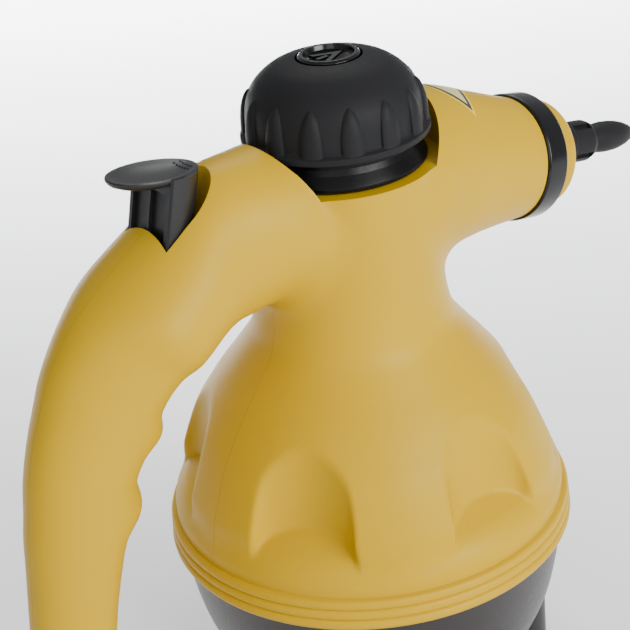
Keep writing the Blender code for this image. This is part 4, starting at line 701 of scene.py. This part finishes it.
print("hollow housing with", len(rough.data.polygons), "faces")
SCREWS = [(-111.26, 60.48), (-90.29, 134.4), (-39.03, 178.08), (38.45, 147.84)]
sideways = Matrix.Rotation(-math.pi / 2, 4, "X")
cut(rough, joined(cylinder(NECK_BORE, 170, POCKET_FLOOR - 0.5),
                  cylinder(GLAND_BORE, 20, 34, HANDLE_FOOT, 32),
                  cylinder(POCKET_RADIUS, POCKET_FLOOR, PAST_TOP, segments=192),
                  slot_mesh(0, -33, 30),
                  *[cylinder(SCREW_BORE, 7, 40, Matrix.Translation((x, 0, z)) @ sideways, 32)
                    for x, z in SCREWS]))
print("with pocket, slot and holes", len(rough.data.polygons), "faces")


def trimmed(bm, place, keep, reached=lambda place: True):
    """Cut a hollow mesh by a plane, keep the side that keep points to, and close the wall."""
    verts = [v for v in bm.verts if reached(v.co)]
    chosen = set(verts)
    faces = [f for f in bm.faces if all(v in chosen for v in f.verts)]
    edges = list({e for f in faces for e in f.edges})
    result = bmesh.ops.bisect_plane(bm, geom=verts + edges + faces, plane_co=place, plane_no=keep,
                                    clear_inner=True, dist=1e-6)
    rim = [e for e in result["geom_cut"]
           if isinstance(e, bmesh.types.BMEdge) and len(e.link_faces) == 1]
    bmesh.ops.triangle_fill(bm, edges=rim, use_beauty=True, use_dissolve=False,
                            normal=[-v for v in keep])


SEAM = 0.06
# The rim's three beads, each a little smaller than the one below, and the skirt over the base
RIM_LOW, RIM_RADIUS, BEADS, BEAD_STEP, BEAD_PROUD, BEAD_HALF = 56.0, 64.65, 3, 0.25, 1.1, 1.65
RIM = [(62.0, RIM_LOW), (63.6, RIM_LOW)]
for k in range(BEADS):
    low, radius = RIM_LOW + 2 * BEAD_HALF * k, RIM_RADIUS - BEAD_STEP * k
    RIM += [(radius - BEAD_PROUD + BEAD_PROUD * math.sin(a),
             low + BEAD_HALF - BEAD_HALF * math.cos(a))
            for a in np.linspace(0.25, math.pi - 0.25, 9)]
RIM += [(61.6, 66.2), (59.2, 66.2), (58.4, 64.6), (59.0, 62.0), (62.0, 60.0)]
halves = []
for side, name in ((1, "left_shell"), (-1, "right_shell")):
    bm = in_millimetres(rough.data)
    trimmed(bm, (0, side * SEAM, 0), (0, side, 0))
    trimmed(bm, MOUTH, -MOUTH_AHEAD, lambda place: place.z > BARREL_LOW)
    trimmed(bm, (0, 0, RIM_TOP), (0, 0, 1), lambda place: place.xy.length < RIM_REACH)
    bmesh.ops.recalc_face_normals(bm, faces=bm.faces)
    print(name, "open edges", sum(1 for e in bm.edges if len(e.link_faces) != 2))
    gap = SEAM / 62
    rim = spun(RIM, 128, angle=math.pi - 2 * gap, start=gap if side > 0 else math.pi + gap)
    halves.append(new_object(name, joined(bm, rim), yellow_abs, 40))
bpy.data.objects.remove(rough, do_unlink=True)


def stands_for(piece, body, *names):
    """A dressed piece rides its body and hides the solids it stands for."""
    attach(piece, body)
    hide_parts(*names)
    print(piece.name, "stands for", *names, "with", len(piece.data.polygons), "faces")


for half, node in zip(halves, ("housing_left", "housing_right")):
    stands_for(half, "housing", node)

# %% [markdown]
# ## Base, collar and cap
# Everything that is turned about the body's axis is a spun outline. Each corner of an outline is
# rounded a little first, because a perfectly sharp edge on a moulded piece looks wrong: it never
# catches the light.

# %% Rounded outlines


def rounded(profile, radius, steps=4):
    """Replace each corner of a closed outline by a small arc, but for those on the axis."""
    points = [Vector(p) for p in profile]
    out = []
    for k, here in enumerate(points):
        before, after = points[k - 1] - here, points[(k + 1) % len(points)] - here
        turn = before.angle(after) if before.length and after.length else math.pi
        if here.x < 1e-6 or turn > math.radians(172):
            out.append(tuple(here))
            continue
        reach = min(radius / math.tan(turn / 2), before.length * 0.45, after.length * 0.45)
        start, end = here + before.normalized() * reach, here + after.normalized() * reach
        for t in np.linspace(0, 1, steps + 1):
            out.append(tuple(start * (1 - t) ** 2 + here * 2 * t * (1 - t) + end * t ** 2))
    return out


# %% Base cup with its screw holes, feet recesses and posts
CUP = [(18, 0), (18, 2.5), (39.0, 2.5), (42.6, 3.4), (46.5, 6.7), (48.9, 11.2), (53.2, 20.2),
       (57.5, 30.8), (60.3, 43.7), (61.75, 55.7), (61.4, 60.4), (59.4, 60.4), (59.3, 55.7),
       (57.8, 43.7), (55.0, 30.8), (50.7, 20.2), (46.3, 12.0), (43.4, 7.4), (38.0, 5.9)]
outside = through([(z, r) for r, z in CUP[3:10]], 8)
cup_profile = [(0, 0), *CUP[:3], *[(r, z) for z, r in outside], *CUP[10:], (0, 5.9)]
base = new_object("base_shell", spun(rounded(cup_profile, 0.8), 160), base_polypropylene, 40)
POST_PLACE, FOOT_PLACE = 50, 30
POST = [(0, 5), (5.4, 5), (5.4, 60), (0, 60)]
posts = [around(POST_PLACE, math.radians(45 + 90 * k)) for k in range(4)]
feet = [around(FOOT_PLACE, a) for a in (0, math.pi / 2, math.pi, -math.pi / 2)]
cut(base, joined(*[spun(POST, 40, post) for post in posts]), "UNION")
cut(base, joined(*[cylinder(3.8, -5, 26, post, 40) for post in posts],
                 *[cylinder(2.1, 20, 70, post, 24) for post in posts],
                 *[cylinder(6.3, -5, 3.7, foot, 48) for foot in feet]))
stands_for(base, "housing", "base_cup")

# %% Collar
COLLAR = [(14.5, 178.3), (25.5, 178.3), (26.4, 179.2), (26.4, 180.1), (25.4, 181.6), (24.3, 183.2),
          (23.6, 184.9), (23.6, 187.3), (21.8, 187.3), (21.8, 184.6), (16.3, 180.1), (14.5, 180.1)]
# The collar's material is darker and duller than the ring's, as painted shade under the cap
collar = new_object("collar_ring", spun(rounded(COLLAR, 0.35), 160), shaded_collar_abs, 40)
stands_for(collar, "housing", "neck_collar")

# %% Cap: knob with fourteen ribs
RIBS, FIRST_RIB = 14, -92.4
CROWN = [(27.9, 187.6), (27.9, 189.4), (26.6, 190.0), (26.1, 190.6), (26.0, 193.5), (25.8, 196.9),
         (24.9, 200.6), (22.9, 203.9), (20.4, 206.4), (17.3, 208.5), (14.0, 209.8), (11.2, 210.5),
         (9.8, 210.8)]
INNER = [(9.8, 210.2), (9.8, 208.4), (9.9, 208.0), (9.9, 198.8), (12.2, 198.8), (12.2, 206.8),
         (16.0, 206.6), (20.6, 203.6), (23.0, 200.0), (23.9, 196.5), (24.1, 191.0), (25.5, 189.9),
         (25.5, 187.6)]
# Up a rib: height, how far out its face stands, and its root just inside the dome's wall
RIB = [(189.3, 27.55, 26.5), (191.0, 27.5, 25.1), (194.0, 27.35, 25.0), (197.0, 27.0, 24.8),
       (199.3, 26.35, 24.2), (201.0, 25.6, 23.5), (202.0, 24.9, 22.9), (202.6, 24.2, 22.5)]
RIB_HALF, RIB_LOW, RIB_TALL = 3.15, 189.3, 13.3
crown = through([(z, r) for r, z in CROWN[4:]], 6)
dome = rounded([*CROWN[:4], *[(r, z) for z, r in crown], *INNER], 0.3)
knob = new_object("cap_dome", spun(dome, 224), grained_nylon)


def rib_mesh(turn):
    """A bullet-shaped rib: flat sides, a rounded nose and a top that leans into the dome."""
    rows = []
    for height, face, root in RIB:
        share = (height - RIB_LOW) / RIB_TALL
        half = RIB_HALF * math.sqrt(max(0.02, 1 - share ** 2.6))
        nose = [(face - 0.9 * abs(t) ** 2.4, t * half, height) for t in np.linspace(-1, 1, 11)]
        rows.append(nose + [(root, half, height), (root, -half, height)])
    bm = bmesh.new()
    rings = [[bm.verts.new(p) for p in row] for row in rows]
    for ring in rings:
        for a, b in zip(ring, ring[1:] + ring[:1]):
            bm.edges.new((a, b))
    for low, high in zip(rings, rings[1:]):
        pair = {e for ring in (low, high) for v in ring for e in v.link_edges
                if e.verts[0] in ring and e.verts[1] in ring}
        bmesh.ops.bridge_loops(bm, edges=list(pair))
    for ring in (rings[0], rings[-1]):
        bm.faces.new(ring)
    bmesh.ops.recalc_face_normals(bm, faces=bm.faces)
    bmesh.ops.transform(bm, matrix=Matrix.Rotation(turn, 4, "Z"), verts=bm.verts)
    return bm


ribs = [rib_mesh(math.radians(FIRST_RIB + 360 / RIBS * k)) for k in range(RIBS)]
cut(knob, joined(*ribs), "UNION")
bevelled(knob, 0.35, 34)
smoothed(knob.data, 38)
stands_for(knob, "knob", "cap_knob")

# %% Insert: a ring round a sunk disc with a plain raised arrow
INSERT = [(0, 207.1), (6.4, 207.1), (6.4, 208.6), (9.0, 209.3), (9.1, 211.0), (8.5, 211.6),
          (7.5, 211.6), (7.2, 210.1), (0, 209.9)]
insert = new_object("cap_disc", spun(rounded(INSERT, 0.25), 96), gloss_abs, 40)
ARROW = [(-4.6, -3.6), (0.0, 5.0), (4.6, -3.6), (2.9, -3.6), (0.0, 1.6), (-2.9, -3.6)]
ARROW_STEM = [(-0.7, -4.4), (0.7, -4.4), (0.7, -0.4), (-0.7, -0.4)]
ARROW_LOW, ARROW_HIGH = 209.2, 210.7


def plate(outline, low, high, frame):
    """A flat outline extruded between two heights."""
    bm = bmesh.new()
    face = bm.faces.new([bm.verts.new((x, y, low)) for x, y in outline])
    top = bmesh.ops.extrude_face_region(bm, geom=[face])
    raised = [v for v in top["geom"] if isinstance(v, bmesh.types.BMVert)]
    bmesh.ops.translate(bm, vec=(0, 0, high - low), verts=raised)
    bmesh.ops.recalc_face_normals(bm, faces=bm.faces)
    bmesh.ops.transform(bm, matrix=frame, verts=bm.verts)
    return bm


toward_barrel = Matrix.Rotation(-math.pi / 2, 4, "Z")
cut(insert, joined(*[plate(outline, ARROW_LOW, ARROW_HIGH, toward_barrel)
                     for outline in (ARROW, ARROW_STEM)]), "UNION")
stands_for(insert, "cap", "cap_insert")

# %% [markdown]
# ## Button, barrel end and nozzle
# The button's frame leans forward with the hump. The barrel's pieces are spun about Z and then
# laid along the barrel by one matrix.

# %% Button
button_frame = Matrix(((BUTTON_FORWARD[0], 0, BUTTON_UP[0], BUTTON[0]), (0, 1, 0, 0),
                       (BUTTON_FORWARD[2], 0, BUTTON_UP[2], BUTTON[2]), (0, 0, 0, 1)))
SHAFT_HALF, SHAFT_FRONT, SHAFT_CORNER, SHAFT_LOW, SHAFT_HIGH = 9.9, 13.2, 0.6, -27, 8.0
DISH_LIFT, DISH_TILT, DISH_LONG, DISH_WIDE = 6.2, math.radians(-8), 13.9, 9.4
outline = [(0, SHAFT_HALF - SHAFT_CORNER), (0, -SHAFT_HALF + SHAFT_CORNER),
           (SHAFT_CORNER, -SHAFT_HALF)]
outline += [(SHAFT_FRONT - SHAFT_HALF + SHAFT_HALF * math.cos(a), SHAFT_HALF * math.sin(a))
            for a in np.linspace(-math.pi / 2, math.pi / 2, 40)]
outline += [(SHAFT_CORNER, SHAFT_HALF)]
shaft = plate(outline, SHAFT_LOW, SHAFT_HIGH, button_frame)
button = new_object("thumb_button", shaft, button_nylon)
dish_frame = (button_frame @ Matrix.Translation((0, 0, DISH_LIFT))
              @ Matrix.Rotation(DISH_TILT, 4, "Y"))
# The dish is spun as a disc of radius 1 and stretched to an oval
lay = dish_frame @ Matrix.Diagonal((DISH_LONG, DISH_WIDE, 1, 1))
DISH = [(0, -3.0), (0.60, -3.0), (0.80, -2.65), (0.93, -1.9), (0.99, -1.0), (1.0, -0.45),
        (0.985, -0.1), (0.95, 0.0), (0, 0.0)]
HOLLOW = [(0, -1.8), (0.22, -1.75), (0.45, -1.5), (0.65, -1.05), (0.80, -0.55), (0.90, -0.12),
          (0.945, 0.0), (0.985, -0.08), (1.04, -0.5), (1.5, -0.5), (1.5, 9), (0, 9)]
cut(button, spun(DISH, 96, lay), "UNION")
cut(button, spun(HOLLOW, 96, lay))


def block(low, high, frame=None):
    """A box between two corners, moved by frame."""
    bm = bmesh.new()
    bmesh.ops.create_cube(bm, size=1)
    low, high = Vector(low), Vector(high)
    bmesh.ops.scale(bm, vec=high - low, verts=bm.verts)
    bmesh.ops.translate(bm, vec=(low + high) / 2, verts=bm.verts)
    if frame is not None:
        bmesh.ops.transform(bm, matrix=frame, verts=bm.verts)
    return bm


# The rear face is sunk inside a frame, with a rib down its middle
cut(button, joined(block((-1.2, -7.9, -16), (1.2, -0.35, 1.4), button_frame),
                   block((-1.2, 0.35, -16), (1.2, 7.9, 1.4), button_frame)))
# The arm that reaches the valve, and two rows of small grip dots near the dish's front
cut(button, joined(block((-60, -4, 165.5), (-21, 4, 170.5))), "UNION")
cut(button, cylinder(4.2, 165.5, 170.2, Matrix.Translation((-21, 0, 0)), 40), "UNION")
DOT_RADIUS, DOT_PITCH, DOT_SUNK, DOT_ROWS = 0.38, 1.3, 0.1, ((9.6, 6), (11.2, 5))
HOLLOW_LONG, HOLLOW_WIDE, HOLLOW_DEEP = 12.9, 8.7, 1.8
dots = bmesh.new()
for u, count in DOT_ROWS:
    for k in range(count):
        y = (k - (count - 1) / 2) * DOT_PITCH
        share = min(1, math.hypot(u / HOLLOW_LONG, y / HOLLOW_WIDE) ** 2)
        depth = -HOLLOW_DEEP * (1 - share) - DOT_SUNK
        bmesh.ops.create_icosphere(dots, subdivisions=2, radius=DOT_RADIUS,
                                   matrix=dish_frame @ Matrix.Translation((u, y, depth)))
bevelled(button, 0.25, 50)
bm = in_millimetres(button.data)
bpy.data.objects.remove(button, do_unlink=True)
button = new_object("thumb_button", joined(bm, dots), button_nylon, 38)
stands_for(button, "button", "trigger_button")

# %% Barrel ring, end cover, socket and spout
BARREL_TURN, NOZZLE_SHIFT = math.radians(100.6), (0.26, 0, 1.376)
barrel = Matrix.Translation(MOUTH) @ Matrix.Rotation(BARREL_TURN, 4, "Y")
nozzle = Matrix.Translation(NOZZLE_SHIFT) @ barrel
RING = [(16.2, 0.3), (20.0, 0.3), (20.5, 0.9), (20.5, 8.0), (19.9, 8.8), (16.2, 8.8)]
ring = new_object("barrel_band", spun(rounded(RING, 0.4), 128, barrel), gloss_abs, 40)
stands_for(ring, "housing", "barrel_ring")
COVER = [(13.6, -6.5), (15.9, -6.5), (15.9, 9.1), (17.5, 9.1), (17.5, 14.0), (17.2, 15.3),
         (16.5, 16.3), (15.2, 16.9), (0, 16.9), (0, 14.6), (13.6, 14.6)]
cover = new_object("end_cover", spun(rounded(COVER, 0.4), 128, barrel), yellow_abs)
# A bore for the socket, and a small notch in the edge
notch_frame = barrel @ Matrix.Rotation(math.radians(65), 4, "Z")
cut(cover, joined(cylinder(8.3, 5, 25, nozzle, 64),
                  block((-17.9, -0.5, 12.4), (-16.9, 0.5, 18), notch_frame)))
smoothed(cover.data, 40)
stands_for(cover, "housing", "barrel_end_cap")
SOCKET = [(2, -8), (4, -8), (4, 12.0), (11.4, 12.0), (11.4, 14.3), (8.0, 14.3), (8.0, 26.9),
          (5.2, 26.9), (5.2, 13.9), (2, 13.9)]
socket = new_object("nozzle_socket_ring", spun(rounded(SOCKET, 0.3), 64, nozzle), grained_nylon,
                    40)
stands_for(socket, "housing", "nozzle_socket")
SPOUT = [(1, 15.9), (4.9, 15.9), (4.9, 27.2), (6.9, 27.2), (6.9, 36.2), (6.2, 38.2), (4.5, 38.7),
         (4.3, 40.0), (4.9, 43.1), (5.2, 46.6), (5.05, 50.5), (4.7, 53.2), (3.9, 56.4),
         (2.8, 59.2), (1.5, 60.7), (1, 60.7)]
spout = new_object("nozzle_tip", spun(rounded(SPOUT, 0.3), 48, nozzle), grained_nylon, 40)
# Four slots round the base give the fingers a hold
quarters = [nozzle @ Matrix.Rotation(math.radians(30 + 90 * k), 4, "Z") for k in range(4)]
cut(spout, joined(*[block((5.6, -1.1, 28.6), (9, 1.1, 36.4), quarter) for quarter in quarters]))
smoothed(spout.data, 40)
stands_for(spout, "nozzle", "nozzle_spout")

# %% [markdown]
# ## Springs
# A spring is a coil of steel wire that shortens as its joint moves. The coils keep the solids'
# form and ride their bodies, and each prints its length and its joint's travel.

# %% Four coils
UP = np.array([0.0, 0.0, 1.0])
for name, node, body, joint, travel, axis in (
        ("knob_coil", "knob_spring", "cap", "knob_press", 2.5, UP),
        ("relief_coil", "relief_spring", "cap", "relief_lift", 2.0, -UP),
        ("valve_coil", "valve_spring", "housing", "trigger_press", 4.85, UP),
        ("trigger_coil", "trigger_spring", "housing", "trigger_press", 5.0, BUTTON_UP)):
    bm = in_millimetres(nodes[node].data)
    bmesh.ops.remove_doubles(bm, verts=bm.verts, dist=1e-3)
    along = np.array([v.co[:] for v in bm.verts]) @ axis
    low, length = float(along.min()), float(along.max() - along.min())
    coil = new_object(name, bm, zinc_steel, 60)
    stands_for(coil, body, node)
    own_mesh(coil)
    print(name, "is", round(length, 1), "mm long and shortens by", travel)

# %% [markdown]
# ## A thin label on a curved surface
# A printed label follows the surface under it. Each of its three layers starts as a flat grid
# above the barrel, sinks onto the field's surface, is lifted a tenth or two of a millimetre and
# gets a thickness. The label stays plain.

# %% A plain badge laid on the barrel's top
BADGE_X, BADGE_LONG, BADGE_WIDE, BADGE_THICK = 41.0, 9.5, 13.8, 0.1


def laid_plate(name, reach_x, reach_y, lift, thick, finish):
    """A rhombus cut from a fine grid, drawn onto the housing's surface and given a thickness."""
    bm = bmesh.new()
    bmesh.ops.create_grid(bm, x_segments=24, y_segments=24, size=1)
    turn = Matrix.Rotation(math.pi / 4, 4, "Z") @ Matrix.Scale(1 / math.sqrt(2), 4)
    bmesh.ops.transform(bm, matrix=turn, verts=bm.verts)
    flat = np.array([v.co[:] for v in bm.verts])
    start = np.stack([BADGE_X + flat[:, 0] * reach_x, flat[:, 1] * reach_y,
                      187.0 - 0.03 * (flat[:, 1] * reach_y) ** 2], 1)
    laid, _ = drawn_to_surface(start, 6)
    near = nearest_station(laid)
    slope = np.stack([field(laid + step, near) - field(laid - step, near)
                      for step in np.eye(3) * PROBE], 1)
    laid += lift * slope / np.linalg.norm(slope, axis=1)[:, None]
    for vert, place in zip(bm.verts, laid):
        vert.co = place
    bmesh.ops.solidify(bm, geom=bm.faces[:], thickness=thick)
    bmesh.ops.recalc_face_normals(bm, faces=bm.faces)
    return new_object(name, bm, finish, 40)


badge_rim = plastic("printed_pale_border", "E8C93A", "E3C232", 0.4, 0.8, 0.0, specular=0.2)
badge_line = plastic("printed_dark_line", "3C3C40", "38383C", 0.4, 0.8, 0.0, specular=0.2)
badge_field = plastic("printed_pale_field", "CFCB8A", "C8C37E", 0.4, 0.8, 0.0, specular=0.2)
for name, size, lift, finish in (("badge_border", 1.0, 0.12, badge_rim),
                                 ("badge_line", 0.89, 0.17, badge_line),
                                 ("badge_field", 0.72, 0.22, badge_field)):
    piece = laid_plate(name, BADGE_LONG * size, BADGE_WIDE * size, lift, BADGE_THICK, finish)
    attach(piece, "housing")
    print(piece.name, "lies on the barrel with", len(piece.data.polygons), "faces")

# %% Cord gland at the handle's end
GLAND = [(3.4, 23.5), (6.2, 23.5), (6.6, 23.9), (6.6, 25.7), (4.8, 25.7), (4.8, 34.6), (3.4, 34.6)]
gland = new_object("cord_bush", spun(rounded(GLAND, 0.3), 64, HANDLE_FOOT), foot_rubber, 40)
stands_for(gland, "housing", "cord_gland")
